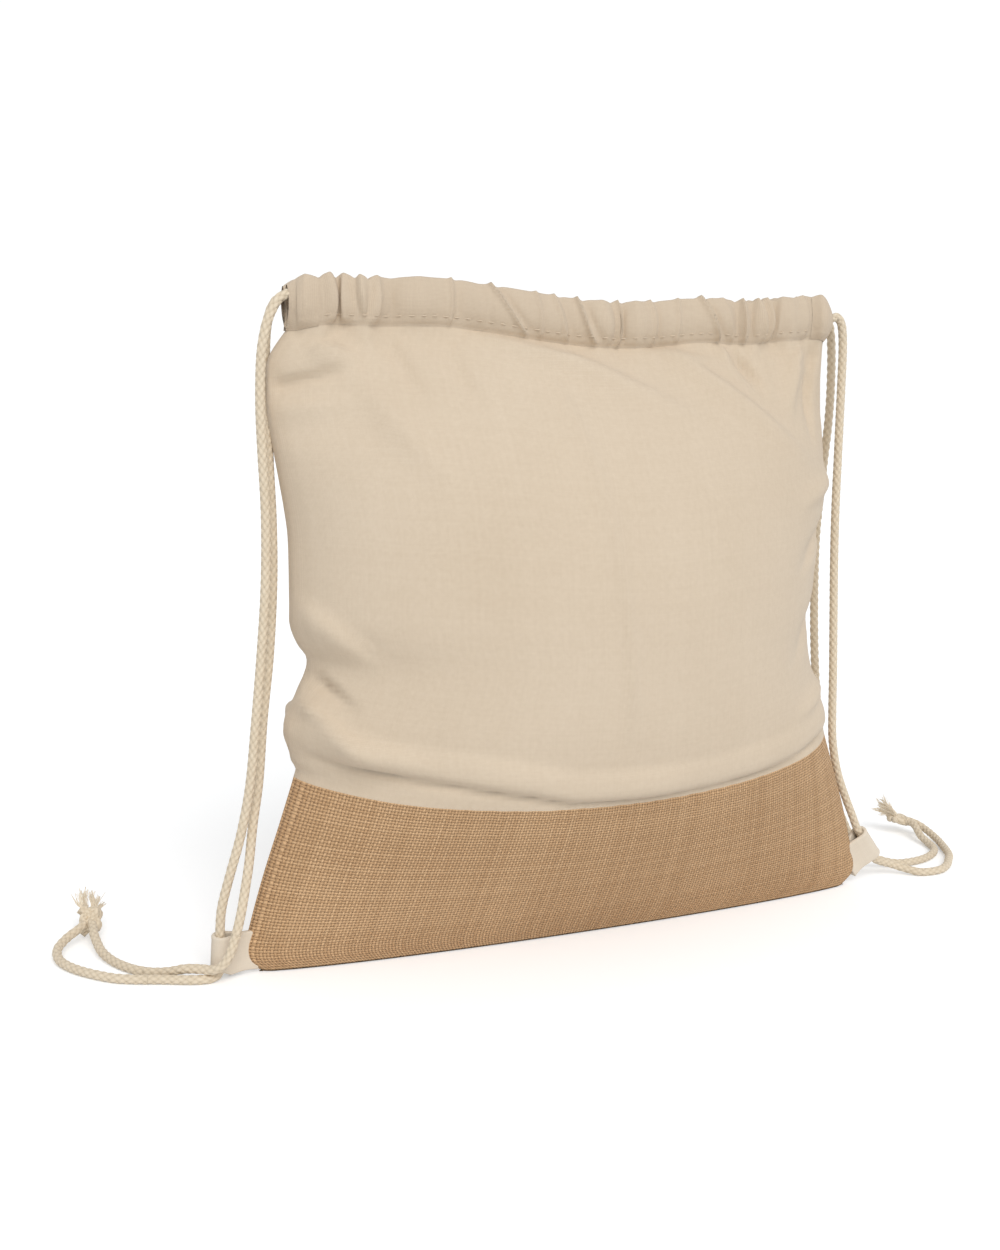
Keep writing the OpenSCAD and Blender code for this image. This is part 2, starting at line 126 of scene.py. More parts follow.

# %% [markdown]
# ## Small helpers for lines and meshes
# A smooth curve through given points is a Catmull-Rom spline, cut into equal steps. A frame
# that is carried along it without twisting gives every ring of a tube its place.

# %% Smooth lines
def smooth_line(points, step):
    p = np.array(points, float)
    p = np.vstack([2 * p[0] - p[1], p, 2 * p[-1] - p[-2]])
    t = np.linspace(0, 1, 24, endpoint=False)[:, None]
    dense = []
    for a, b, c, d in zip(p[:-3], p[1:-2], p[2:-1], p[3:]):
        dense.append(0.5 * (2 * b + (c - a) * t + (2 * a - 5 * b + 4 * c - d) * t ** 2
                            + (3 * b - a - 3 * c + d) * t ** 3))
    dense = np.vstack(dense + [p[-2:-1]])
    along = np.concatenate([[0], np.cumsum(np.linalg.norm(np.diff(dense, axis=0), axis=1))])
    count = max(2, int(round(along[-1] / step)) + 1)
    s = np.linspace(0, along[-1], count)
    return np.column_stack([np.interp(s, along, dense[:, k]) for k in range(3)]), s


def carried_frames(line):
    tangent = np.gradient(line, axis=0)
    tangent /= np.linalg.norm(tangent, axis=1)[:, None]
    side = np.cross(tangent[0], (0.31, 0.55, 0.77))
    sides = []
    for t in tangent:
        side = side - t * np.dot(side, t)
        side = side / np.linalg.norm(side)
        sides.append(side)
    sides = np.array(sides)
    return sides, np.cross(tangent, sides)


def ring_faces(base, rings, sides):
    """Four-sided faces between neighbouring rings of points, which are numbered from base."""
    faces = []
    for ring_start in range(base, base + (rings - 1) * sides, sides):
        above = ring_start + sides
        for j in range(sides):
            beside = (j + 1) % sides
            faces.append((ring_start + j, ring_start + beside, above + beside, above + j))
    return faces


def tube_faces(base, rings, sides):
    """The same faces, with a flat cap at each end."""
    last = base + (rings - 1) * sides
    caps = [tuple(range(base, base + sides))[::-1], tuple(range(last, last + sides))]
    return ring_faces(base, rings, sides) + caps


def mesh_object(name, verts, faces, uv=None):
    mesh = bpy.data.meshes.new(name)
    mesh.from_pydata([tuple(v) for v in verts], [], [tuple(f) for f in faces])
    if uv is not None:
        layer = mesh.uv_layers.new(name="threads")
        layer.data.foreach_set("uv", np.asarray(uv, float).ravel())
    mesh.polygons.foreach_set("use_smooth", [True] * len(mesh.polygons))
    mesh.update()
    piece = bpy.data.objects.new(name, mesh)
    bpy.context.collection.objects.link(piece)
    return piece


print("helpers for lines, tubes and meshes are ready")

# %% [markdown]
# ## Braided cord
# A braid is two sets of yarns that wind round the cord in opposite directions, over and under each
# other. The same over-and-under rule gives the relief of the mesh here and, later, the colour and
# the finer bump of the material, so both are kept in the piece's own map: one unit is one yarn.

# %% Braid relief and cord meshes
BRAID_YARNS = 4
BRAID_PITCH = 0.0046
CORD_SIDES = 28
CORD_STEP = 0.0007
BRAID_RELIEF = 0.0006


def over_under(a, b):
    fa = np.mod(a, 1) - 0.5
    fb = np.mod(b, 1) - 0.5
    sign = 2 * np.mod(np.floor(a) + np.floor(b), 2) - 1
    round_a = np.sqrt(np.clip(1 - (2.1 * fa) ** 2, 0, 1))
    round_b = np.sqrt(np.clip(1 - (2.1 * fb) ** 2, 0, 1))
    first = round_a * (0.6 + 0.4 * sign * np.cos(math.pi * fb))
    second = round_b * (0.6 - 0.4 * sign * np.cos(math.pi * fa))
    return np.maximum(first, second)


def cord_mesh(name, line, s, frames, diameter=CORD_D):
    turn = np.linspace(0, 1, CORD_SIDES + 1)
    a = BRAID_YARNS * turn[None, :] + s[:, None] / BRAID_PITCH
    b = BRAID_YARNS * turn[None, :] - s[:, None] / BRAID_PITCH
    height = over_under(a[:, :-1], b[:, :-1])
    radius = diameter / 2 - BRAID_RELIEF * 0.6 + BRAID_RELIEF * height
    angle = 2 * math.pi * turn[:-1]
    out = (np.cos(angle)[None, :, None] * frames[0][:, None, :]
           + np.sin(angle)[None, :, None] * frames[1][:, None, :])
    verts = (line[:, None, :] + radius[:, :, None] * out).reshape(-1, 3)
    ab = np.stack([a, b], axis=-1)
    uv = np.stack([ab[:-1, :-1], ab[:-1, 1:], ab[1:, 1:], ab[1:, :-1]], axis=2).reshape(-1, 2)
    uv = np.concatenate([uv, np.full((2 * CORD_SIDES, 2), 0.5)])
    return mesh_object(name, verts, tube_faces(0, len(line), CORD_SIDES), uv)


def cord_in_pieces(route, cuts):
    """One braided cord, cut where each cut says into lengths of their own."""
    line, s = smooth_line([tuple(c * MM for c in p) for p in route], CORD_STEP)
    frames = carried_frames(line)
    made = []
    edges = [0] + [cut(line) for _, cut in cuts[:-1]] + [len(line) - 1]
    for (name, _), first, end in zip(cuts, edges, edges[1:]):
        part = slice(first, end + 1)
        piece = cord_mesh(name, line[part], s[part], (frames[0][part], frames[1][part]))
        made.append((piece, line[part], s[end] - s[first]))
    return made


print("braid:", BRAID_YARNS, "yarns each way,", CORD_D, "m thick")

# %% [markdown]
# ## The four strap strands and their tails
# On each side one strand goes through the tab and the other passes it, in front of the left tab
# and behind the right one. A strand is cut just above the floor, where the tail begins to swing,
# and again where the tail begins to stretch.

# %% Straps and tails
TAIL_SPLIT = 0.236
sides_of_bag = {"left": -1, "right": 1}
cords = {}
for (side, kind), strap_route in strap_routes.items():
    strap_end = np.array(strap_route[-1]) * MM
    out = sides_of_bag[side]

    def at_strap_end(line, strap_end=strap_end):
        return int(np.argmin(np.linalg.norm(line - strap_end, axis=1)))

    def at_tail_split(line, out=out):
        on_floor = line[:, 2] < 0.012
        return int(np.argmax(on_floor & (out * line[:, 0] > TAIL_SPLIT)))

    cuts = [
        (f"{side}_strap_{kind}_braid", at_strap_end),
        (f"{side}_tail_{kind}_root", at_tail_split),
        (f"{side}_tail_{kind}_braid", None),
    ]
    cords[side, kind] = cord_in_pieces(strap_route + tail_routes[side, kind], cuts)
    for piece, line, length in cords[side, kind]:
        print(piece.name, "is", round(length, 3), "m long")

# %% [markdown]
# ## The shape of the filled bag
# The panels are two sheets that meet at the side seams. A few named sizes give the outline of the
# filled bag: how wide it is at each height, how deep, and where the waist seam runs. The channel
# is gathered on the cords, so the mouth's line carries pleats, and it rises and sags a little.

# %% Outline of the bag
FLAT_HALF = 0.190
BAG_H = 0.350
CHANNEL_H = 0.024
CORNER_R = 0.015
TOP_HALF = 0.156
MOUTH_ENDS = {"left": 0.1595, "right": 0.1545}
COTTON_TOP = BAG_H - CHANNEL_H
MOUTH_HALF_DEPTH = 0.015
MOUTH_END_DEPTH = 0.0046
JUTE_H = 0.101
WAIST_DIP = 0.016
left_line = [
    (0, 190), (15, 188), (50, 178), (101, 160.5), (108, 161.5), (115, 162.8), (124, 165.5),
    (131, 164.3), (146, 157.8), (161, 152.5), (170, 157.5), (180, 161), (192, 161), (222, 161),
    (237, 162.5), (253, 165), (268, 167.5), (285, 170), (299, 170.3), (309, 169.8), (316, 166.5),
    (321, 163), (326, 159.5), (338, 157.5), (350, 156)]
right_line = [
    (0, 190), (15, 188), (50, 178), (99, 160), (107, 159.5), (120, 155), (141, 147.5), (160, 144),
    (177, 146.5), (195, 147.5), (212, 150), (230, 153), (240, 154), (247, 153), (259, 153.5),
    (275, 154), (293, 153), (318, 152.5), (333, 153), (350, 153)]
depth_line = [
    (0, 13.5), (20, 27), (40, 39), (60, 51), (81, 62), (101, 68), (135, 74), (191, 76), (247, 64),
    (292, 38), (315, 20), (326, 15), (350, 15)]
mouth_height = [
    (-156, -1), (-140, 2), (-118, 1.5), (-84, 2), (-60, 0), (-30, -4), (5, -7), (35, -6),
    (66, -3), (95, -3.5), (120, -1), (143, 1), (153, -1)]
curves = {}


def for_side(x, values):
    """The left or the right one of two values, by the side that x lies on."""
    return np.where(np.asarray(x) < 0, values["left"], values["right"])


def through(points, x):
    """A smooth curve through (place, value) points, read at x."""
    key = tuple(points)
    if key not in curves:
        curves[key] = smooth_line([(a, b, 0) for a, b in points], 0.5)[0]
    dense = curves[key]
    return np.interp(np.asarray(x, float) / MM, dense[:, 0], dense[:, 1]) * MM


def reach(u, z):
    """How far the bag's side is from its middle at height z, on the side that u lies on."""
    low = np.clip(CORNER_R - z, 0, CORNER_R)
    line = for_side(u, {"left": through(left_line, z), "right": through(right_line, z)})
    return line - (CORNER_R - np.sqrt(CORNER_R ** 2 - low ** 2))


def lens(u, z):
    fullness = 0.62 + 0.38 * np.clip((z - COTTON_TOP + 0.060) / 0.060, 0, 1)
    return np.clip(1 - u * u, 0, 1) ** fullness


def waist_z(u):
    return JUTE_H - WAIST_DIP * (1 - u * u)


def mouth_lift(x):
    return through(mouth_height, x)


print("outline of the bag:", 2 * FLAT_HALF, "m wide and", BAG_H, "m high")

# %% [markdown]
# ## Pleats of the mouth
# Each pleat is a small bump of the mouth's line, in or out. They crowd near the two ends and a
# little right of the middle, where the cotton is gathered most.

# %% Pleats
PLEAT_FOOT = 0.290
SIDE_DEPTH = 0.0012
SIDE_OPENING = 0.0034
front_pleats = [
    (-146, 2.4, 5), (-134, -2.0, 4.5), (-123, 2.4, 5), (-110, -1.8, 5.5), (-97, 1.4, 7),
    (-66, -1.3, 9), (-38, 1.3, 9), (-12, -1.8, 6), (2, 2.2, 5), (14, -2.0, 4.5), (25, 2.0, 5),
    (38, -1.6, 6), (62, 1.4, 8), (84, -1.8, 7), (101, 2.2, 5), (113, -2.0, 5), (124, 2.0, 5),
    (137, -1.6, 4.5), (147, 1.2, 4)]
back_pleats = [
    (-145, 2.0, 5), (-130, -2.0, 5), (-112, 2.2, 6), (-88, -1.8, 7), (-64, 2.0, 6),
    (-40, -2.0, 6), (-18, 2.0, 6), (6, -2.0, 6), (30, 1.8, 7), (55, -1.8, 7), (80, 2.0, 6),
    (101, -2.0, 6), (120, 2.2, 5), (136, -1.6, 5), (147, 1.2, 4)]


def pleat(x, side):
    pleats = front_pleats if side < 0 else back_pleats
    total = np.zeros_like(np.asarray(x, float))
    for place, height, width in pleats:
        total = total + height * MM * np.exp(-((x / MM - place) / width) ** 2)
    return total


def mouth_depth(x):
    fullness = lens(x / TOP_HALF, COTTON_TOP)
    return MOUTH_END_DEPTH + (MOUTH_HALF_DEPTH - MOUTH_END_DEPTH) * fullness


def shell(u, z, side):
    """A point of the filled bag: u runs across a panel from -1 to 1, side is -1 in front."""
    u = np.asarray(u, float)
    near_top = np.clip((z - PLEAT_FOOT) / (COTTON_TOP - PLEAT_FOOT), 0, 1)
    edge = SIDE_DEPTH + SIDE_OPENING * near_top
    depth = edge + (through(depth_line, z) - edge) * lens(u, z)
    x = reach(u, z) * u
    depth = depth + pleat(x, side) * near_top ** 2
    return np.stack([x, side * depth, z * np.ones_like(x)], axis=-1)


print("pleats:", len(front_pleats), "in front and", len(back_pleats), "behind")

# %% [markdown]
# ## Sewing and filling the bag by simulation
# The two panels start in the outline above and remember their flat cut, 380 mm wide and longer
# than the standing bag. Held at the bottom seam, the side seams and the channel, they are blown up
# by a gentle pressure, as the filling would do. The cloth then finds its own creases where the cut
# is longer than the space it has: along the side seams, at the corners and under the pleats.

# %% Start grid of the panels
PANEL_COLUMNS = 76
JUTE_ROWS = 20
COTTON_ROWS = 50
ROWS = JUTE_ROWS + COTTON_ROWS
JUTE_CUT = 0.104
COTTON_CUT = 0.252
SEAM_START = 0.0012


def start_grid():
    """Start places and flat places of the panels, rows from the bottom up, front then back."""
    start = np.zeros((ROWS + 1, 2 * PANEL_COLUMNS, 3))
    flat = np.zeros_like(start)
    u_front = np.linspace(-1, 1, PANEL_COLUMNS + 1)
    for row in range(ROWS + 1):
        for column in range(2 * PANEL_COLUMNS):
            back = column > PANEL_COLUMNS
            u = u_front[column] if not back else u_front[2 * PANEL_COLUMNS - column]
            seam = waist_z(u)
            top = COTTON_TOP + mouth_lift(reach(u, COTTON_TOP) * u)
            if row <= JUTE_ROWS:
                z = SEAM_START + (seam - SEAM_START) * row / JUTE_ROWS
                cut = JUTE_CUT * row / JUTE_ROWS
            else:
                part = (row - JUTE_ROWS) / COTTON_ROWS
                z = seam + (top - seam) * part
                cut = JUTE_CUT + COTTON_CUT * part
            side = 1 if back else -1
            start[row, column] = shell(u, z, side)
            flat[row, column] = (FLAT_HALF * u, side * 0.0005, cut)
            if abs(u) == 1:
                start[row, column, 1] = 0
                flat[row, column, 1] = 0
    return start, flat


start_places, flat_places = start_grid()
print("grid of the panels:", start_places.shape[0], "rows of", start_places.shape[1], "points")

# %% [markdown]
# The points on the seams and at the channel are pinned. The stiff jute takes a smaller share of
# the pressure than the cotton, so that it bulges less.

# %% Cloth simulation
SIM_FRAMES = 34
JUTE_PRESSURE = 0.55
cloth_settings = {
    "quality": 7, "mass": 0.25, "tension_stiffness": 30, "compression_stiffness": 22,
    "shear_stiffness": 8, "bending_stiffness": 0.25, "tension_damping": 8,
    "compression_damping": 8, "shear_damping": 8, "air_damping": 3, "vertex_group_mass": "pins",
    "use_pressure": True, "uniform_pressure_force": 60, "vertex_group_pressure": "pressed",
}


def fill_bag(start, flat):
    """The settled places of the grid's points."""
    rows, columns = start.shape[:2]
    panels = mesh_object("sewn_panels", start.reshape(-1, 3), ring_faces(0, rows, columns))
    panels.shape_key_add(name="standing")
    cut = panels.shape_key_add(name="cut")
    cut.data.foreach_set("co", flat.ravel())
    pins = panels.vertex_groups.new(name="pins")
    index = np.arange(rows * columns).reshape(rows, columns)
    held = set(index[0]) | set(index[-1]) | set(index[:, 0]) | set(index[:, PANEL_COLUMNS])
    pins.add([int(i) for i in held], 1.0, "REPLACE")
    pressed = panels.vertex_groups.new(name="pressed")
    pressed.add([int(i) for i in index[:JUTE_ROWS + 1].ravel()], JUTE_PRESSURE, "REPLACE")
    pressed.add([int(i) for i in index[JUTE_ROWS + 1:].ravel()], 1.0, "REPLACE")
    cloth = panels.modifiers.new("cloth", "CLOTH")
    settings = cloth.settings
    for setting, value in cloth_settings.items():
        setattr(settings, setting, value)
    settings.rest_shape_key = cut
    settings.effector_weights.gravity = 0.0
    cloth.collision_settings.use_collision = False
    cloth.collision_settings.use_self_collision = False
    cloth.point_cache.frame_start = 1
    cloth.point_cache.frame_end = SIM_FRAMES
    scene = bpy.context.scene
    for step in range(1, SIM_FRAMES + 1):
        scene.frame_set(step)
    settled = panels.evaluated_get(bpy.context.evaluated_depsgraph_get())
    places = np.zeros(rows * columns * 3)
    settled.data.vertices.foreach_get("co", places)
    scene.frame_set(1)
    bpy.data.objects.remove(panels)
    return places.reshape(rows, columns, 3)


bag_grid = fill_bag(start_places, flat_places)
print("the filled panels span", np.round(np.ptp(bag_grid.reshape(-1, 3), axis=0), 3))

# %% [markdown]
# ## From the coarse grid to fine cloth
# The simulation ran on cells of 5 mm. Halving them with a smooth rule keeps every crease round.
# The normals are measured on the whole sheet before it is cut, so that the cut down the middle
# can't be seen.

# %% Fine grid and cloth pieces
def halved(grid, axis, closed):
    g = np.moveaxis(grid, axis, 0)
    if closed:
        before, after, after2 = np.roll(g, 1, 0), np.roll(g, -1, 0), np.roll(g, -2, 0)
        middle = (9 * (g + after) - before - after2) / 16
    else:
        ext = np.concatenate([2 * g[:1] - g[1:2], g, 2 * g[-1:] - g[-2:-1]])
        middle = (9 * (ext[1:-2] + ext[2:-1]) - ext[:-3] - ext[3:]) / 16
    fine = np.empty((len(g) + len(middle),) + g.shape[1:])
    fine[0::2] = g
    fine[1::2] = middle
    return np.moveaxis(fine, 0, axis)


def grid_normals(grid):
    across = np.gradient(grid, axis=1)
    up = np.gradient(grid, axis=0)
    normal = np.cross(across, up)
    return normal / np.maximum(np.linalg.norm(normal, axis=2), 1e-12)[:, :, None]


def sheet_mesh(name, grid, uv, thickness, normals=None):
    """A sheet with two faces and a rim; the grid is its outer face and thickness goes inwards."""
    if normals is None:
        normals = grid_normals(grid)
    rows, columns = grid.shape[:2]
    count = rows * columns
    outer = grid.reshape(-1, 3)
    inner = (grid - normals * thickness).reshape(-1, 3)
    index = np.arange(count).reshape(rows, columns)
    a, b, c, d = index[:-1, :-1], index[:-1, 1:], index[1:, 1:], index[1:, :-1]
    skin = np.stack([a, b, c, d], axis=-1).reshape(-1, 4)
    lining = np.stack([a, d, c, b], axis=-1).reshape(-1, 4) + count
    rim_line = np.concatenate([index[0, :-1], index[:-1, -1], index[-1, :0:-1], index[:0:-1, 0]])
    after = np.roll(rim_line, -1)
    rim = np.stack([after, rim_line, rim_line + count, after + count], axis=-1)
    faces = np.concatenate([skin, lining, rim])
    mesh = bpy.data.meshes.new(name)
    verts = np.concatenate([outer, inner])
    mesh.vertices.add(len(verts))
    mesh.vertices.foreach_set("co", verts.ravel())
    mesh.loops.add(faces.size)
    mesh.loops.foreach_set("vertex_index", faces.ravel())
    mesh.polygons.add(len(faces))
    mesh.polygons.foreach_set("loop_start", np.arange(0, faces.size, 4))
    mesh.update(calc_edges=True)
    flat = np.concatenate([uv.reshape(-1, 2), uv.reshape(-1, 2)])
    layer = mesh.uv_layers.new(name="threads")
    layer.data.foreach_set("uv", flat[faces.ravel()].ravel())
    mesh.polygons.foreach_set("use_smooth", [True] * len(faces))
    mesh.validate()
    point_normals = np.concatenate([normals.reshape(-1, 3), -normals.reshape(-1, 3)])
    mesh.normals_split_custom_set_from_vertices(point_normals)
    piece = bpy.data.objects.new(name, mesh)
    bpy.context.collection.objects.link(piece)
    return piece


fine_grid = halved(halved(bag_grid, 1, True), 0, False)
FINE_COLUMNS = 2 * PANEL_COLUMNS
FINE_WAIST = 2 * JUTE_ROWS
fine_rows = fine_grid.shape[0]
flat_height = np.concatenate([np.linspace(0, JUTE_CUT, FINE_WAIST + 1),
                              JUTE_CUT + np.linspace(0, COTTON_CUT, fine_rows - FINE_WAIST)[1:]])
print("fine grid:", fine_rows, "rows of", fine_grid.shape[1], "points")

# %% [markdown]
# ## Details that the simulation is too coarse for
# The cotton is stitched to the jute with its allowance inside. A flat strip is left above the
# seam, wide at the sides and narrow in the middle, and the slack cotton swells over it in a soft
# roll. A pressed fold runs down the front, where the empty bag was folded for packing. The waves
# of slack cotton between the channel and the belly are long shallow ridges: each is given by its
# two ends, its width and its height, and falls off more steeply on one side.

# %% Ridges of slack cloth
RIDGE_GAIN = 1.9
front_ridges = [
    ((-74, 330), (-3, 304), 5.5, 2.2), ((-38, 322), (45, 284), 7, 2.4),
    ((19, 322), (72, 312), 5, 2.2), ((40, 318), (126, 258), 8, 2.9),
    ((72, 330), (82, 314), 3.2, 2.6), ((86, 322), (100, 296), 5, -2.8),
    ((132, 324), (116, 284), 7, 2.6), ((142, 318), (134, 270), 5, -2.2),
    ((-176, 296), (-128, 308), 3.6, -1.9), ((-168, 286), (-128, 292), 6, 1.4),
    ((-150, 316), (-128, 312), 7, 2.6), ((-112, 322), (-98, 290), 7, -1.6),
    ((-126, 300), (-92, 252), 9, 1.8), ((-84, 322), (-70, 280), 8, -1.4),
    ((-166, 168), (-138, 140), 5, -3.8), ((-168, 150), (-130, 118), 5, 2.6),
    ((-160, 192), (-126, 160), 8, 2.0), ((-150, 128), (-100, 112), 6, 1.6),
    ((150, 222), (112, 200), 7, -2.2), ((156, 250), (116, 236), 8, 2.2),
    ((150, 180), (108, 150), 9, -2.0), ((152, 132), (112, 118), 7, 1.8)]
back_ridges = [
    ((-120, 322), (-80, 270), 8, 2.6), ((-40, 322), (-20, 262), 9, -2.4),
    ((30, 322), (20, 268), 8, 2.8), ((90, 322), (70, 276), 8, -2.4),
    ((140, 322), (112, 262), 8, 2.6), ((150, 160), (100, 140), 9, -2.2),
    ((-150, 200), (-104, 178), 9, -2.0), ((-166, 168), (-138, 146), 6, -2.6),
    ((-166, 138), (-120, 120), 6, 2.4), ((150, 224), (112, 206), 7, -2.2)]


def ridge_height(x, z, ridge):
    (x0, z0), (x1, z1), width, height = ridge
    run = np.array([x1 - x0, z1 - z0], float)
    length = np.linalg.norm(run)
    run = run / length
    px, pz = x / MM - x0, z / MM - z0
    along = px * run[0] + pz * run[1]
    off = px * run[1] - pz * run[0]
    part = np.clip(along / length, -0.2, 1.2)
    fade = np.clip(1 - np.abs(part - 0.4) / 0.8, 0, 1)
    fade = fade * fade * (3 - 2 * fade)
    reach_of = width * np.where(off > 0, 1.0, 0.55)
    return RIDGE_GAIN * height * MM * fade * np.exp(-(off / reach_of) ** 2)


print("ridges:", len(front_ridges), "in front and", len(back_ridges), "behind")

# %% [markdown]
# All of this is height along the cloth's own normals. It fades out at the side seams and under
# the channel, so that the edges of the panels stay where the other pieces meet them.

# %% Roll over the waist seam and pressed fold
ROLL_HEIGHT = 0.0056
ROLL_REACH = 0.020
SEAM_PINCH = 0.0024
PINCH_REACH = 0.0026
ROLL_HALF_WIDTH = 0.160
ROLL_END_FADE = 0.022
strip_height = [
    (-1, 18), (-0.73, 15), (-0.53, 12), (-0.34, 8), (-0.2, 3.2), (0.3, 2.2), (0.7, 3.5), (1, 9)]
FOLD_HEIGHT = 0.0022
FOLD_WIDTH = 0.0038
FOLD_FOOT = 0.118
FOLD_TOP = 0.318
FOLD_FADE = 0.03
fold_line = [
    (-33, 309), (-25, 285), (-19, 257), (-15, 230), (-12, 204), (-7, 165), (-6, 133), (-8, 100)]


def detailed(grid, normals):
    x, y, z = grid[:, :, 0], grid[:, :, 1], grid[:, :, 2]
    columns = grid.shape[1]
    front = (np.arange(columns) <= FINE_COLUMNS)[None, :]
    lift = np.zeros(grid.shape[:2])
    above = flat_height[:, None] - JUTE_CUT
    edge_fade = np.clip((ROLL_HALF_WIDTH - np.abs(x)) / ROLL_END_FADE, 0, 1)
    u_line = np.linspace(-1, 1, FINE_COLUMNS + 1)
    u_ring = np.concatenate([u_line, u_line[-2:0:-1]])[None, :]
    strip = np.interp(u_ring, [a for a, _ in strip_height], [b * MM for _, b in strip_height])
    above = above - strip
    up = np.clip(above / ROLL_REACH, 0, 1)
    wander = 0.75 + 0.25 * np.sin(x * 61 + 1.3) * np.cos(x * 23 - 0.4)
    roll = np.sin(math.pi * np.clip(up, 0, 1)) ** 0.5 * (1 - up) ** 0.4
    fuller_left = 0.45 * np.clip(-u_ring * 1.6 - 0.3, 0, 1)
    flatter_right = 0.3 * np.clip(u_ring + 0.2, 0, 1)
    roll = roll * (1 + fuller_left - flatter_right)
    lift = lift + np.where(above > 0, ROLL_HEIGHT * roll * wander * edge_fade, 0)
    pinch = np.exp(-(above / PINCH_REACH) ** 2)
    lift = lift - SEAM_PINCH * pinch * edge_fade
    fold_x = np.interp(z, [b * MM for _, b in reversed(fold_line)],
                       [a * MM for a, _ in reversed(fold_line)])
    fold = FOLD_HEIGHT * np.exp(-np.abs((x - fold_x) / FOLD_WIDTH) ** 1.3)
    fold = fold * np.clip((z - FOLD_FOOT) / FOLD_FADE, 0, 1)
    fold = fold * np.clip((FOLD_TOP - z) / FOLD_FADE, 0, 1)
    lift = lift + np.where(front, fold, 0)
    for ridge in front_ridges:
        lift = lift + np.where(front, ridge_height(x, z, ridge), 0)
    for ridge in back_ridges:
        lift = lift + np.where(~front, ridge_height(x, z, ridge), 0)
    side_fade = np.clip((reach(x, z) - np.abs(x)) / 0.006, 0, 1)
    top_fade = np.clip((fine_rows - 1 - np.arange(fine_rows)) / 4, 0, 1)[:, None]
    return grid + normals * (lift * side_fade * top_fade)[:, :, None]


def ring_normals(grid):
    wrapped = np.concatenate([grid[:, -1:], grid, grid[:, :1]], axis=1)
    return grid_normals(wrapped)[:, 1:-1]


fine_grid = detailed(fine_grid, ring_normals(fine_grid))
fine_normals = ring_normals(fine_grid)
print("points of detailed cloth:", fine_grid.shape[0] * fine_grid.shape[1])

# %% [markdown]
# ## Panels
# Each cotton panel is cut down the middle into two pieces, because its left and right halves are
# gathered by different cords. The jute band doesn't move, so each side of it is one piece.

# %% Cotton and jute panels
COTTON_T = 0.0010
JUTE_T = 0.0016
COTTON_THREAD = 0.00062
JUTE_THREAD = 0.0018
MIDDLE = FINE_COLUMNS // 2
flat_across = np.concatenate([np.linspace(-FLAT_HALF, FLAT_HALF, FINE_COLUMNS + 1),
                              np.linspace(FLAT_HALF, -FLAT_HALF, FINE_COLUMNS + 1)[1:-1]])
ring = np.arange(2 * FINE_COLUMNS + 1) % (2 * FINE_COLUMNS)
parts = {
    ("front", "left"): ring[:MIDDLE + 1],
    ("front", "right"): ring[MIDDLE:FINE_COLUMNS + 1],
    ("back", "right"): ring[FINE_COLUMNS:FINE_COLUMNS + MIDDLE + 1],
    ("back", "left"): ring[FINE_COLUMNS + MIDDLE:],
}


def thread_map(columns, heights, thread):
    across = flat_across[columns] / thread
    up = np.asarray(heights) / thread
    return np.stack(np.meshgrid(across, up), axis=-1)


def panel_piece(name, rows, columns, thread, thickness, inset=0.0):
    place = fine_grid[rows][:, columns]
    normal = fine_normals[rows][:, columns]
    uv = thread_map(columns, flat_height[rows], thread)
    return sheet_mesh(name, place - normal * inset, uv, thickness, normal)


cotton_rows = np.arange(FINE_WAIST, fine_rows)
jute_rows = np.arange(0, FINE_WAIST + 1)
cotton = {}
for (face, half), columns in parts.items():
    cotton[face, half] = panel_piece(f"cotton_{face}_{half}_half", cotton_rows, columns,
                                     COTTON_THREAD, COTTON_T)
jute = {}
for face, columns in (("front", ring[:FINE_COLUMNS + 1]), ("back", ring[FINE_COLUMNS:])):
    jute[face] = panel_piece(f"jute_{face}_cloth", jute_rows, columns, JUTE_THREAD, JUTE_T)
print("panels:", len(cotton), "cotton halves and", len(jute), "jute bands")

# %% [markdown]
# ## Seams
# The waist allowances lie flat inside the bag. The side allowances stand between the panels, and
# the bottom seam is the lens that the bag stands on. They show only from inside or from below.

# %% Waist, side and bottom seams
SEAM_ALLOWANCE = 0.012
SEAM_INSET = 0.0030
waist_strips = {}
for face in ("front", "back"):
    columns = ring[:FINE_COLUMNS + 1] if face == "front" else ring[FINE_COLUMNS:]
    columns = columns[6:-6]
    waist_rows = np.arange(FINE_WAIST - 2, FINE_WAIST + 3)
    waist_strips[face] = panel_piece(f"{face}_waist_allowance", waist_rows, columns, JUTE_THREAD,
                                     JUTE_T, SEAM_INSET)

side_strips = {}
for side, column in (("left", 0), ("right", FINE_COLUMNS)):
    out = sides_of_bag[side]
    edge = fine_grid[1:, column]
    steps = np.linspace(0.0012, SEAM_ALLOWANCE, 5)
    strip = np.stack([edge - np.array([out * step, 0, 0]) for step in steps], axis=1)
    strip = strip + np.array([0, 0.0008, 0])
    uv = np.stack(np.meshgrid(steps, flat_height[1:]), axis=-1) / COTTON_THREAD
    side_strips[side] = sheet_mesh(f"{side}_side_allowance", strip, uv, -JUTE_T * out)

front_foot = fine_grid[0, :FINE_COLUMNS + 1] + np.array([0, 0.0006, 0])
back_foot = fine_grid[0, ring[FINE_COLUMNS:]][::-1] - np.array([0, 0.0006, 0])
across = np.linspace(0, 1, 7)[:, None, None]
lens_grid = back_foot[None] * (1 - across) + front_foot[None] * across
lens_grid[:, :, 2] = 0.0004
lens_uv = lens_grid[:, :, :2] / JUTE_THREAD
bottom_lens = sheet_mesh("bottom_seam_cloth", lens_grid, lens_uv, JUTE_T)
print("seams:", len(waist_strips) + len(side_strips) + 1)

# %% [markdown]
# ## The channel
# The top of each panel is folded in and stitched down, which leaves a sleeve for the cords. The
# sleeve starts on the panel's own top row, so that the cloth runs on without a step: 5 mm of
# doubled hem, the stitch line where it is drawn in, and above it the puffed sleeve. The grid of a
# sleeve goes up its outer face, over the fold and down the inner face.

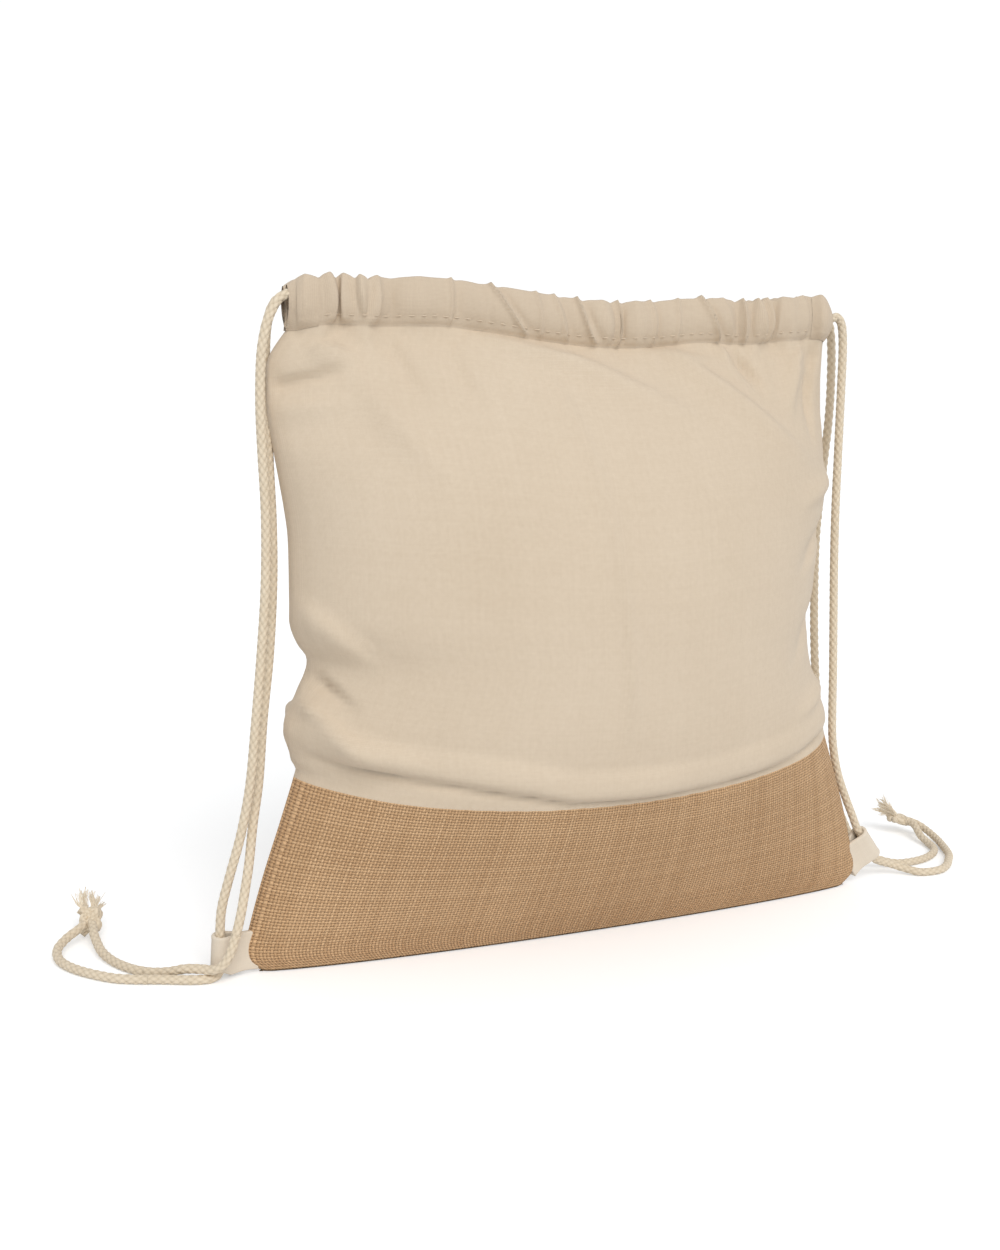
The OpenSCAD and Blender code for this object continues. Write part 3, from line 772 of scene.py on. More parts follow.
# %% Gathers of the channel
GATHER_GAIN = 1.35
GATHER_SEED = 5
LEAN_FROM = 14
front_gathers = [
    (-152, 0.1, 1.4, 3.0), (-144.6, 0, -2.4, 1.8), (-139.5, -0.1, 1.8, 3.0),
    (-136, 0.05, -2.2, 1.5), (-131.5, 0, 1.5, 2.6), (-126.2, -0.1, -1.9, 1.5),
    (-123.8, -0.1, 1.3, 1.5), (-121.3, 0.1, -2.2, 1.3), (-117.5, 0.1, 1.2, 2.4),
    (-108, 0, -0.7, 3.0), (-95, 0, 0.5, 5.0), (-78.6, 0.05, 1.2, 1.2), (-75.5, 0, -0.7, 2.2),
    (-60, -0.3, -0.6, 4.0), (-49, -0.8, 1.8, 1.4), (-45.5, -0.8, -1.1, 2.4),
    (-32.7, -0.1, 1.0, 1.3), (-20.3, -0.3, 1.2, 1.6), (-17, -0.3, -0.9, 2.2),
    (-5.8, -0.42, 1.8, 1.4), (-2.6, -0.42, -1.2, 2.2), (4, -0.1, 0.6, 2.5), (9, 0, -1.0, 1.6),
    (12.6, 0, 1.5, 1.3), (16, 0, -1.0, 1.8), (23, 0, 0.6, 2.5), (32.1, -0.05, 1.2, 1.3),
    (36, 0, -0.7, 2.0), (49, 0.05, 1.0, 1.4), (60, 0, -0.5, 4.0), (68.7, -0.54, 2.2, 1.4),
    (72.5, -0.54, -1.6, 2.4), (82, -0.3, 0.9, 2.5), (88, 0, -1.3, 1.6), (92.4, -0.05, 1.8, 1.4),
    (97, 0, -1.4, 1.8), (102, -0.15, 1.6, 1.4), (105, 0, -1.1, 1.3), (107.9, -0.05, 1.6, 1.3),
    (112.5, 0.2, -1.3, 2.0), (118, 0.15, 0.8, 2.4), (126, 0.1, -0.7, 3.0), (134, 0, 0.8, 2.5),
    (141, 0, -0.9, 2.0), (146, 0, 0.8, 2.0)]


def random_gathers():
    rng = random.Random(GATHER_SEED)
    gathers = []
    place = -150.0
    while place < 148:
        height = rng.uniform(0.7, 2.0) * (1 if len(gathers) % 2 else -1)
        gathers.append((place, rng.uniform(-0.4, 0.4), height, rng.uniform(1.3, 2.8)))
        place += rng.uniform(3.0, 9.0)
    return gathers


gathers = {"front": front_gathers, "back": random_gathers()}


def gather(face, x, rise):
    """Height of the gathered folds at x and rise, in millimetres."""
    mm = x / MM
    total = np.zeros_like(mm)
    for place, slope, height, width in gathers[face]:
        off = mm - place - slope * (rise - LEAN_FROM)
        total = total + GATHER_GAIN * height * np.exp(-np.abs(off / width) ** 1.5)
    return total * min(1.0, rise / 3)


print("gathers:", {face: len(found) for face, found in gathers.items()})

# %% [markdown]
# The short hems at the two ends of a channel are pieces of their own, because they move with the
# mouth's corners. Their ends are drawn in round the cords.

# %% Channel sleeves and hems
HEM_L = 0.012
STITCH_UP = 5.0
FULL_RISE = 24.0
SLEEVE_T = 0.0009
HEM_PUFF = {"left": 1.0, "right": 0.35}
EXIT_RISE = {"left": 17.5, "right": 13.0}
EXIT_DRAWN = {"left": 0.34, "right": 0.45}
PUFF = 4.5
LEAST_PUFF = 3.1
STITCH_DRAWN = 0.25
CLOTH_MM = 1.2
OPEN_FROM = 0.010
OPEN_OVER = 0.006
rise_line = [
    0, 1.5, 3, 4.2, 5, 5.8, 7, 8.6, 10.5, 12.5, 14.5, 16.5, 18.5, 20.3, 21.8, 22.9, 23.6, 24]


def mouth_foot(face):
    """The line that a channel starts from, left to right, with the flat width along it.

    Its ends stand open for the cords. The last column is the panel's own edge, which the side
    seam closes.
    """
    columns = ring[:FINE_COLUMNS + 1] if face == "front" else ring[FINE_COLUMNS:][::-1]
    foot = fine_grid[-1, columns].copy()
    side = -1 if face == "front" else 1
    end = for_side(foot[:, 0], MOUTH_ENDS)
    near_end = np.clip((np.abs(foot[:, 0]) - end + OPEN_FROM) / OPEN_OVER, 0, 1)
    mouth_y = side * (mouth_depth(foot[:, 0]) + pleat(foot[:, 0], side))
    closed_y = foot[:, 1].copy()
    foot[:, 1] = foot[:, 1] * (1 - near_end) + mouth_y * near_end
    line = np.column_stack([foot, flat_across[columns], closed_y])
    return halved(halved(line, 0, False), 0, False)


def outward_of(foot, side):
    tangent = np.gradient(foot[:, :2], axis=0)
    outward = np.stack([tangent[:, 1], -tangent[:, 0]], axis=-1) * -side
    return outward / np.linalg.norm(outward, axis=1)[:, None]


def puff(rise):
    part = np.clip(rise / FULL_RISE, 0, 1)
    return PUFF * np.sin(math.pi * part) ** 0.7


def sleeve_row(face, foot, outward, rise, inner, hem):
    """One row of the sleeve: foot moved up by rise and out by the puffed profile."""
    x = foot[:, 0]
    away = -1 if inner else 1
    folds = gather(face, x, rise)
    lumps = 1 + 0.10 * np.sin(x * 190 + rise * 0.05) + 0.08 * np.sin(x * 83)
    drawn = STITCH_DRAWN * math.exp(-((rise - STITCH_UP) / 1.2) ** 2)
    out = away * (puff(rise) * lumps - drawn) - (CLOTH_MM if inner else 0.0)
    up = rise + 0.55 * folds * (rise / FULL_RISE) ** 3
    if hem:
        share = np.clip((np.abs(x) - for_side(x, MOUTH_ENDS) + HEM_L) / HEM_L, 0, 1)
        lobe = for_side(x, HEM_PUFF) * np.sin(math.pi * share) ** 0.8
        out = out + away * lobe * 1.3 * math.sin(math.pi * rise / FULL_RISE)
        up = up + 0.8 * lobe * rise / FULL_RISE
    out = out + folds * (0.4 if inner else 1.0)
    if not inner:
        shape = math.sin(math.pi * rise / FULL_RISE) ** 0.5 if rise < FULL_RISE else 0
        least = LEAST_PUFF * shape
        out = np.where(out < least, least - 0.4 * (1 - np.exp(out - least)), out)
    if hem:
        out = out + 0.3 * away
        closing = np.clip((share - 0.45) / 0.55, 0, 1) ** 2
        exit_rise = for_side(x, EXIT_RISE)
        out = -0.6 + (out + 0.6) * (1 - 0.30 * closing)
        drawn_up = for_side(x, EXIT_DRAWN) * closing * min(1.0, rise / 6)
        up = exit_rise + (up - exit_rise) * (1 - drawn_up)
    place = foot[:, :3].copy()
    place[:, 1] += (foot[:, 4] - foot[:, 1]) * (1 - min(1.0, rise / STITCH_UP)) ** 1.5
    place[:, :2] += outward * (out * MM)[:, None]
    place[:, 2] += up * MM
    return place


def sleeve_grid(face, hem=False):
    """Rows of the sleeve from its foot on the outside, over the top, to its foot on the inside."""
    side = -1 if face == "front" else 1
    line = mouth_foot(face)
    outward = outward_of(line, side)
    steps = [(rise, False) for rise in rise_line] + [(rise, True) for rise in rise_line[-2::-1]]
    rows = [sleeve_row(face, line, outward, rise, inner, hem) for rise, inner in steps]
    heights = [JUTE_CUT + COTTON_CUT + (2 * FULL_RISE - rise if inner else rise) * MM
               for rise, inner in steps]
    grid = np.array(rows)
    uv = np.stack(np.meshgrid(line[:, 3], heights), axis=-1) / COTTON_THREAD
    if side > 0:
        grid, uv = grid[:, ::-1], uv[:, ::-1]
    return grid, uv


def sleeve_piece(name, grid, uv, keep, hem=False):
    normals = grid_normals(grid)
    if not hem:
        normals[0, :, 2] = 0
        normals[0] /= np.linalg.norm(normals[0], axis=1)[:, None]
    return sheet_mesh(name, grid[:, keep], uv[:, keep], SLEEVE_T, normals[:, keep])


channels = {}
hems = {}
for face in ("front", "back"):
    grid, uv = sleeve_grid(face)
    hem_grid, hem_uv = sleeve_grid(face, hem=True)
    x = grid[0, :, 0]
    for half, out in sides_of_bag.items():
        sleeve_end = MOUTH_ENDS[half] - HEM_L
        keep = np.nonzero((out * x > -1e-6) & (out * x < sleeve_end))[0]
        channels[face, half] = sleeve_piece(f"{face}_channel_{half}_half", grid, uv, keep)
        keep = np.nonzero(out * x > sleeve_end - 0.002)[0]
        hems[half, face] = sleeve_piece(f"{half}_{face}_hem", hem_grid, hem_uv, keep, True)
print("channel halves:", len(channels), "and hems:", len(hems))

# %% [markdown]
# ## Stitching under the channel
# One row of thread holds the hem down. Each stitch is a short thread that dips in at both ends.

# %% Channel stitching
STITCH_PITCH = 0.006
STITCH_L = 0.0034
STITCH_R = 0.00034
STITCH_RINGS = 7
STITCH_SIDES = 6


def stitch_row(name, face, half):
    grid, _ = sleeve_grid(face)
    line = grid[rise_line.index(STITCH_UP)]
    side = -1 if face == "front" else 1
    out = sides_of_bag[half]
    order = np.argsort(line[:, 0])
    x_line, y_line, z_line = line[order, 0], line[order, 1], line[order, 2]
    steps = np.linspace(0, 1, STITCH_RINGS)
    verts = []
    faces = []
    start = 0.002
    while start + STITCH_L < MOUTH_ENDS[half] - HEM_L - 0.003:
        x = out * (start + STITCH_L * steps)
        y = np.interp(x, x_line, y_line) + side * (0.0007 * np.sin(math.pi * steps) - 0.0003)
        z = np.interp(x, x_line, z_line)
        base = len(verts)
        for k in range(STITCH_RINGS):
            radius = STITCH_R * (0.55 + 0.45 * math.sin(math.pi * steps[k]))
            for j in range(STITCH_SIDES):
                angle = 2 * math.pi * j / STITCH_SIDES
                rise = radius * math.sin(angle)
                verts.append((x[k], y[k] + radius * math.cos(angle), z[k] + rise))
        faces += tube_faces(base, STITCH_RINGS, STITCH_SIDES)
        start += STITCH_PITCH
    return mesh_object(name, verts, faces if out > 0 else [face[::-1] for face in faces])


stitching = {}
for face, half in channels:
    stitching[face, half] = stitch_row(f"{face}_stitching_{half}_half", face, half)
print("stitch rows:", len(stitching))

# %% [markdown]
# ## The cords inside the channel
# Each cord goes along the front channel, turns round the far corner of the mouth and comes back
# along the other channel. The turns show at the two corners between the front and back hems.

# %% Cord runs
CORD_LEVEL = 0.0045
RUN_RISE = 0.0145
RUN_REACH = 0.136
RUN_POINTS = 34
CORNER_RISE = 338
run_corner = [
    (142, -5.2), (145.5, -5.0), (149, -4.0), (150.5, 0), (149, 4.0), (145.5, 5.0), (142, 5.2)]


def run_line(end, level):
    """Points of one run for a cord whose two ends leave at the end side, through both sleeves."""
    ways = []
    for face in ("front", "back"):
        foot = mouth_foot(face)
        outward = outward_of(foot, -1 if face == "front" else 1)
        x = np.linspace(-RUN_REACH, RUN_REACH, RUN_POINTS)
        y = np.interp(x, foot[:, 0], foot[:, 1] - outward[:, 1] * 0.0009)
        z = np.interp(x, foot[:, 0], foot[:, 2]) + RUN_RISE + 0.9 * level
        ways.append([(a / MM, b / MM, c / MM) for a, b, c in zip(x, y, z)][::-end])
    corner_z = CORNER_RISE + level / MM
    exit_z = corner_z + (5 if end > 0 else 0)
    start = [(end * 155, -4.6, exit_z), (end * 148, -5.2, corner_z)]
    turn = [(-end * x, y, corner_z) for x, y in run_corner]
    finish = [(end * 148, 5.2, corner_z), (end * 155, 4.6, exit_z)]
    return [*start, *ways[0], *turn, *ways[1][::-1], *finish]


runs = {}
for side, out in sides_of_bag.items():
    def at_middle(line, out=out):
        return int(np.argmax(out * line[:, 0] < 0))

    def back_at_middle(line, out=out):
        return len(line) - 1 - int(np.argmax(out * line[::-1, 0] < 0))

    cuts = [
        (f"{side}_run_front", at_middle),
        (f"{side}_run_turn", back_at_middle),
        (f"{side}_run_back", None),
    ]
    level = CORD_LEVEL if side == "left" else -CORD_LEVEL
    runs[side] = cord_in_pieces(run_line(out, level), cuts)
    print(side, "run is", round(sum(length for _, _, length in runs[side]), 3), "m long")

# %% [markdown]
# ## Tabs
# A tab is a strip of cream tape folded round the cord, with both ends sewn into the side seam. Its
# outline from above is a loop, and the strip's thick edge is swept along it.

# %% Outline and place of the tabs
TAB_ROOT = 0.187
TAB_HALF_T = 0.0009
TAB_THREAD = 0.0006
TAB_MIDDLE = {"left": 0.0122, "right": 0.0160}
TAB_HALF_H = {"left": 0.0104, "right": 0.0106}
TAB_FOLD = {"left": 0, "right": 10}
TAB_LEAN = {"left": 0, "right": 35}
loop_start = [(-5, -1.0), (1, -1.3), (4.5, -2.0), (8.4, -3.1)]
loop_round = [(13.4 + 4.15 * math.cos(math.radians(t)), 4.15 * math.sin(math.radians(t)))
              for t in range(-105, 106, 15)]
tab_loop = loop_start + loop_round + [(x, -y) for x, y in reversed(loop_start)]


def tab_profile(half):
    edge = TAB_HALF_T
    steps = np.linspace(half - 3 * edge, -half + 3 * edge, 9)
    top = [(edge * 1.25 * math.cos(a), half - edge + edge * math.sin(a))
           for a in np.linspace(0, math.pi, 9)]
    low = [(edge * 1.25 * math.cos(a), -half + edge + edge * math.sin(a))
           for a in np.linspace(math.pi, 2 * math.pi, 9)]
    return top + [(-edge, h) for h in steps] + low + [(edge, h) for h in steps[::-1]]


def tab_place(side, x, y, z):
    """A point of the tab's own loop, leaned and folded, at its seam."""
    lean, fold = math.radians(TAB_LEAN[side]), math.radians(TAB_FOLD[side])
    x, z = x * math.cos(lean) - z * math.sin(lean), x * math.sin(lean) + z * math.cos(lean)
    x, y = x * math.cos(fold) - y * math.sin(fold), x * math.sin(fold) + y * math.cos(fold)
    out = sides_of_bag[side]
    return out * (TAB_ROOT + x), y, TAB_MIDDLE[side] + z


print("points of the tab's outline:", len(tab_loop))

# %% [markdown]
# The tape is flat but for a slight sway. The left tab's lower edge is raised a little at its outer
# end. The right tab is tipped up by its cord, and turned a little to the back.

# %% Corner tabs
def tab_band(side):
    line, s = smooth_line([(x * MM, y * MM, 0) for x, y in tab_loop], 0.0006)
    tangent = np.gradient(line, axis=0)
    normal = np.stack([tangent[:, 1], -tangent[:, 0], 0 * tangent[:, 0]], axis=-1)
    normal = normal / np.linalg.norm(normal, axis=1)[:, None]
    half = TAB_HALF_H[side]
    profile = tab_profile(half)
    out = sides_of_bag[side]
    rows, n = len(line), len(profile)
    verts = []
    for i in range(rows):
        sway = 0.0004 * math.sin(s[i] * 260)
        raised = 0.0035 * float(np.clip((line[i, 0] - 0.009) / 0.006, 0, 1)) if out < 0 else 0
        for off, up in profile:
            x, y = (line[i] + normal[i] * off)[:2]
            up = up + sway + raised * float(np.clip((-up - half / 2) / (half / 2), 0, 1))
            verts.append(tab_place(side, x * (1 - 0.04 * up / half), y, up))
    girth = np.cumsum([0] + [math.dist(profile[j], profile[(j + 1) % n]) for j in range(n)])
    faces = tube_faces(0, rows, n)
    uv = []
    for before, after in zip(s, s[1:]):
        for low, high in zip(girth, girth[1:]):
            corners = [(before, low), (before, high), (after, high), (after, low)]
            uv += [(a / TAB_THREAD, b / TAB_THREAD) for a, b in corners[::out]]
    uv += [(0.5, 0.5)] * (2 * n)
    return mesh_object(f"{side}_tab_band", verts, [face[::out] for face in faces], uv)


tabs = {side: tab_band(side) for side in sides_of_bag}
print("tabs:", len(tabs))

# %% [markdown]
# ## Knots
# Both ends of a cord are tied together in one overhand knot. Its line is the open trefoil, pulled
# tight, and the two strands follow it side by side.

# %% Overhand knots
KNOT_RISE = 0.0097
TASSEL_LIFT = math.radians(35)
STRAND_OFF = 0.0017
KNOT_CORD_D = 0.0045
knot_places = {"left": (-0.256, 0.084, KNOT_RISE), "right": (0.283, 0.077, KNOT_RISE)}
knot_turns = {"left": math.radians(80), "right": math.radians(155)}
knot_slants = {"left": 1.1, "right": -0.8}


def knot_axes(side, lift=TASSEL_LIFT, swing=0.0):
    """The knot's own directions: along the cords, level across them, and up from both."""
    turn = knot_turns[side] + swing
    flat, steep = math.cos(lift), math.sin(lift)
    heading = np.array([math.cos(turn) * flat, math.sin(turn) * flat, steep])
    level = np.array([-math.sin(turn), math.cos(turn), 0])
    return heading, level, np.cross(heading, level)


def joined(name, pieces):
    bpy.ops.object.select_all(action="DESELECT")
    for piece in pieces:
        piece.select_set(True)
    bpy.context.view_layer.objects.active = pieces[0]
    bpy.ops.object.join()
    pieces[0].name = name
    pieces[0].data.name = name
    return pieces[0]


def tied_knot(side):
    heading, level, upright = knot_axes(side)
    t = np.linspace(-2.06, 2.06, 60)
    x = 2.15 * (t ** 3 - 3 * t)
    y = 1.8 * (t ** 4 - 4 * t * t + 1.7)
    z = knot_slants[side] * (t ** 5 / 5 - 2 * t)
    centre = np.array(knot_places[side])
    points = centre + MM * (x[:, None] * heading + y[:, None] * level + z[:, None] * upright)
    line, s = smooth_line([tuple(p) for p in points], CORD_STEP)
    frames = carried_frames(line)
    strands = []
    for which in (-1, 1):
        path = line + which * STRAND_OFF * frames[0]
        frame_of_path = carried_frames(path)
        strands.append(cord_mesh(f"{side}_knot_strand", path, s, frame_of_path, KNOT_CORD_D))
    return joined(f"{side}_knot_braid", strands)


knots = {side: tied_knot(side) for side in sides_of_bag}
print("knots:", [knot.name for knot in knots.values()])

# %% [markdown]
# ## Frayed ends
# Past the knot each strand comes apart into fine fibres. They start together, spread and droop.

# %% Tassels
WISPS = 9
FIBRES = 9
FIBRE_R = 0.00027
FIBRE_POINTS = 13
FIBRE_SIDES = 3
tassel_seeds = {"left": 7, "right": 11}


def wisp_line(rng, root, axes, spread, angle):
    """One untwisted yarn: it leaves the cord, fans out, curls and hangs a little."""
    heading, level, upright = axes
    steps = np.linspace(0, 1, FIBRE_POINTS)[:, None]
    sideways = math.cos(angle) * level + math.sin(angle) * upright
    length = rng.uniform(0.011, 0.0205) * (1 - 0.2 * spread)
    fan = spread * rng.uniform(0.003, 0.0085)
    curl = rng.uniform(0.0003, 0.0013)
    phase = rng.uniform(0, 2 * math.pi, 2)
    return (root + 0.0019 * spread * sideways + steps * length * heading
            + fan * steps ** 1.5 * sideways
            + curl * steps * np.sin(4.5 * steps + phase[0]) * level
            + curl * steps * np.sin(5.5 * steps + phase[1]) * upright
            - 0.0016 * steps ** 2 * np.array([0, 0, 1]))


def frayed_ends(side):
    rng = np.random.default_rng(tassel_seeds[side])
    verts = []
    faces = []
    for which in (-1, 1):
        axes = knot_axes(side, TASSEL_LIFT + 0.10 * which, 0.14 * which)
        heading, level, upright = axes
        root = np.array(knot_places[side]) + heading * 0.0048 + level * 0.0015 * which
        for _ in range(WISPS):
            angle = rng.uniform(0, 2 * math.pi)
            wisp = wisp_line(rng, root, axes, math.sqrt(rng.uniform(0, 1)), angle)
            for _ in range(FIBRES):
                steps = np.linspace(0, 1, FIBRE_POINTS)[:, None]
                loose = rng.normal(0, 1, 3) * (0.00022 + 0.00075 * steps ** 1.4)
                wave = 0.0003 * np.sin(7 * steps + rng.uniform(0, 6)) * rng.normal(0, 1, 3)
                line = wisp + loose + wave * steps
                line = line[:int(rng.uniform(0.75, 1) * FIBRE_POINTS)]
                line[:, 2] = np.maximum(line[:, 2], 0.0005)
                faces += tube_faces(len(verts), len(line), FIBRE_SIDES)
                for k, place in enumerate(line):
                    radius = FIBRE_R * (1 - 0.4 * k / len(line))
                    for j in range(FIBRE_SIDES):
                        a = 2 * math.pi * j / FIBRE_SIDES + angle
                        spoke = math.cos(a) * level + math.sin(a) * upright
                        verts.append(place + radius * spoke)
    return mesh_object(f"{side}_frayed_ends", verts, faces)


tassels = {side: frayed_ends(side) for side in sides_of_bag}
print("fibres on each side:", 2 * WISPS * FIBRES)

# %% [markdown]
# ## What each piece moves with
# The bag itself stays. The two mouth corners slide inwards when a cord is pulled, and a tail
# swings on the floor. The jute, the seams below and the tabs ride with the bag, the hems with the
# mouth corners, and the knots and tassels with the tied ends. The cotton, the channels, the cords
# and the other pieces are fixed in place where they were made.


def gathered(piece, node):
    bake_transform(piece)
    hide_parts(node)


def rides(piece, body, node):
    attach(piece, body)
    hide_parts(node)


for (face, half), piece in cotton.items():
    gathered(piece, f"cotton_{face}")
for (face, half), piece in channels.items():
    gathered(piece, f"{face}_channel")
for (face, half), piece in stitching.items():
    gathered(piece, f"{face}_channel_stitching")
for face in ("front", "back"):
    rides(jute[face], "bag", f"jute_{face}")
    rides(waist_strips[face], "bag", f"{face}_waist_seam")
rides(bottom_lens, "bag", "bottom_seam")
for side in sides_of_bag:
    far_side = "right" if side == "left" else "left"
    gathered(side_strips[side], f"{side}_side_seam")
    for face in ("front", "back"):
        rides(hems[side, face], f"{side}_mouth_corner", f"{side}_channel_hem")
    rides(tabs[side], "bag", f"{side}_tab")
    for (piece, _, _), half in zip(runs[side], (side, far_side, side)):
        gathered(piece, f"{side}_cord_run")
    for kind in ("tabbed", "free"):
        strap, root, tail = [piece for piece, _, _ in cords[side, kind]]
        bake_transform(strap)
        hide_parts(f"{side}_strap_{kind}")
        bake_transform(root)
        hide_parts(f"{side}_tail_{kind}")
        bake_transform(tail)
        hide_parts(f"{side}_tail_{kind}")
    rides(knots[side], f"{side}_tied_end", f"{side}_knot")
    rides(tassels[side], f"{side}_tied_end", f"{side}_tassel")

# %% [markdown]
# ## The pieces by finish
# The finish of each piece is named after the record's material slots.

# %% Cords and sheets
for side in sides_of_bag:
    for kind in ("tabbed", "free"):
        strap, root, tail = cords[side, kind]
        piece, line, length = tail
braids = [piece for lengths in (*cords.values(), *runs.values()) for piece, _, _ in lengths]
slots = {
    "cotton": [*cotton.values(), *channels.values(), *hems.values(), *side_strips.values()],
    "jute": [*jute.values(), *waist_strips.values(), bottom_lens],
    "thread": [*stitching.values()],
    "tab": [*tabs.values()],
    "cord": [*braids, *knots.values()],
    "tassel": [*tassels.values()],
}
print("pieces by finish:", {name: len(found) for name, found in slots.items()})

# %% [markdown]
# ## Shared finish: woven threads
# Cotton, jute, tape and braid are all two sets of threads that cross over and under. One node
# group reads a piece's own thread map and gives the height of the cloth there, where a thread
# covers it, and one random tone for each thread.

# %% Weave node group
def feed(tree, socket, value):
    """Give a socket a number, a colour or another node's output."""
    if isinstance(value, (int, float)):
        socket.default_value = value
    elif isinstance(value, tuple):
        socket.default_value = (*value, 1)
    else:
        tree.links.new(value, socket)


def add_node(tree, kind, inputs=None, **settings):
    made = tree.nodes.new(kind)
    for name, value in settings.items():
        setattr(made, name, value)
    for name, value in (inputs or {}).items():
        feed(tree, made.inputs[name], value)
    return made


def maths(tree, operation, *values):
    made = add_node(tree, "ShaderNodeMath", operation=operation)
    for socket, value in zip(made.inputs, values):
        feed(tree, socket, value)
    return made.outputs[0]


def new_group(name, inputs, outputs):
    group = bpy.data.node_groups.new(name, "ShaderNodeTree")
    for socket_name, kind, value in inputs:
        socket = group.interface.new_socket(socket_name, in_out="INPUT", socket_type=kind)
        if value is not None:
            socket.default_value = value
    for socket_name, kind in outputs:
        group.interface.new_socket(socket_name, in_out="OUTPUT", socket_type=kind)
    return group, add_node(group, "NodeGroupInput"), add_node(group, "NodeGroupOutput")


FLOAT = "NodeSocketFloat"
VECTOR = "NodeSocketVector"


def weave_group():
    group, given, result = new_group(
        "woven threads",
        [("Threads", VECTOR, None), ("Width Across", FLOAT, 0.9), ("Width Up", FLOAT, 0.9)],
        [("Height", FLOAT), ("Cover", FLOAT), ("Tone", FLOAT)])
    split = add_node(group, "ShaderNodeSeparateXYZ", {0: given.outputs["Threads"]})
    u, v = split.outputs[0], split.outputs[1]
    cell_u, cell_v = maths(group, "FLOOR", u), maths(group, "FLOOR", v)
    off_u = maths(group, "SUBTRACT", maths(group, "SUBTRACT", u, cell_u), 0.5)
    off_v = maths(group, "SUBTRACT", maths(group, "SUBTRACT", v, cell_v), 0.5)
    parity = maths(group, "FLOORED_MODULO", maths(group, "ADD", cell_u, cell_v), 2.0)
    sign = maths(group, "SUBTRACT", maths(group, "MULTIPLY", parity, 2.0), 1.0)

    def thread_height(off, along, width, turn):
        share = maths(group, "DIVIDE", maths(group, "MULTIPLY", off, 2.0), width)
        round_part = maths(group, "SUBTRACT", 1.0, maths(group, "MULTIPLY", share, share))
        profile = maths(group, "SQRT", maths(group, "MAXIMUM", round_part, 0.0))
        wave = maths(group, "COSINE", maths(group, "MULTIPLY", along, math.pi))
        over = maths(group, "MULTIPLY_ADD", maths(group, "MULTIPLY", wave, sign), 0.4 * turn, 0.6)
        return profile, maths(group, "MULTIPLY", profile, over)

    round_u, height_u = thread_height(off_u, off_v, given.outputs["Width Across"], 1)
    round_v, height_v = thread_height(off_v, off_u, given.outputs["Width Up"], -1)
    height = maths(group, "MAXIMUM", height_u, height_v)
    cover = maths(group, "GREATER_THAN", maths(group, "MAXIMUM", round_u, round_v), 0.12)
    first_on_top = maths(group, "GREATER_THAN", height_u, height_v)
    tones = []
    for cell, seed in ((cell_u, 3.7), (cell_v, 91.3)):
        noise = add_node(group, "ShaderNodeTexWhiteNoise", noise_dimensions="1D")
        feed(group, noise.inputs["W"], maths(group, "ADD", cell, seed))
        tones.append(noise.outputs["Value"])
    choice = {0: first_on_top, 2: tones[1], 3: tones[0]}
    tone = add_node(group, "ShaderNodeMix", choice, data_type="FLOAT")
    for name, value in (("Height", height), ("Cover", cover), ("Tone", tone.outputs[0])):
        feed(group, result.inputs[name], value)
    return group


woven_threads = weave_group()
print("weave group nodes:", len(woven_threads.nodes))

# %% [markdown]
# ## Shared finish: uneven colour
# Undyed cloth is never one colour. This group mixes slow clouds with fine flecks, from object
# coordinates, and the materials use it for both tone and bump.

# %% Uneven colour node group
def uneven_group():
    group, given, result = new_group(
        "uneven colour",
        [("Place", VECTOR, None), ("Cloud Scale", FLOAT, 14.0), ("Fleck Scale", FLOAT, 700.0)],
        [("Clouds", FLOAT), ("Flecks", FLOAT)])
    noises = (("Clouds", "Cloud Scale", 3.0), ("Flecks", "Fleck Scale", 2.0))
    for socket_name, scale, detail in noises:
        noise = add_node(group, "ShaderNodeTexNoise", {
            "Detail": detail, "Vector": given.outputs["Place"], "Scale": given.outputs[scale]})
        feed(group, result.inputs[socket_name], noise.outputs[0])
    return group


uneven_colour = uneven_group()
print("uneven colour nodes:", len(uneven_colour.nodes))

# %% [markdown]
# ## Materials
# Every cloth starts from its thread map. The colour is mixed from a dark and a light tone by the
# thread's own tone, the clouds and the flecks. Painted shade darkens it where a thread dips, and
# the holes between the threads are filled with the painted shade tone.

# %% Cloth materials
def colour_mix(tree, factor, first, second):
    mix = add_node(tree, "ShaderNodeMix", data_type="RGBA")
    for place, value in ((0, factor), (6, first), (7, second)):
        feed(tree, mix.inputs[place], value)
    return mix.outputs[2]


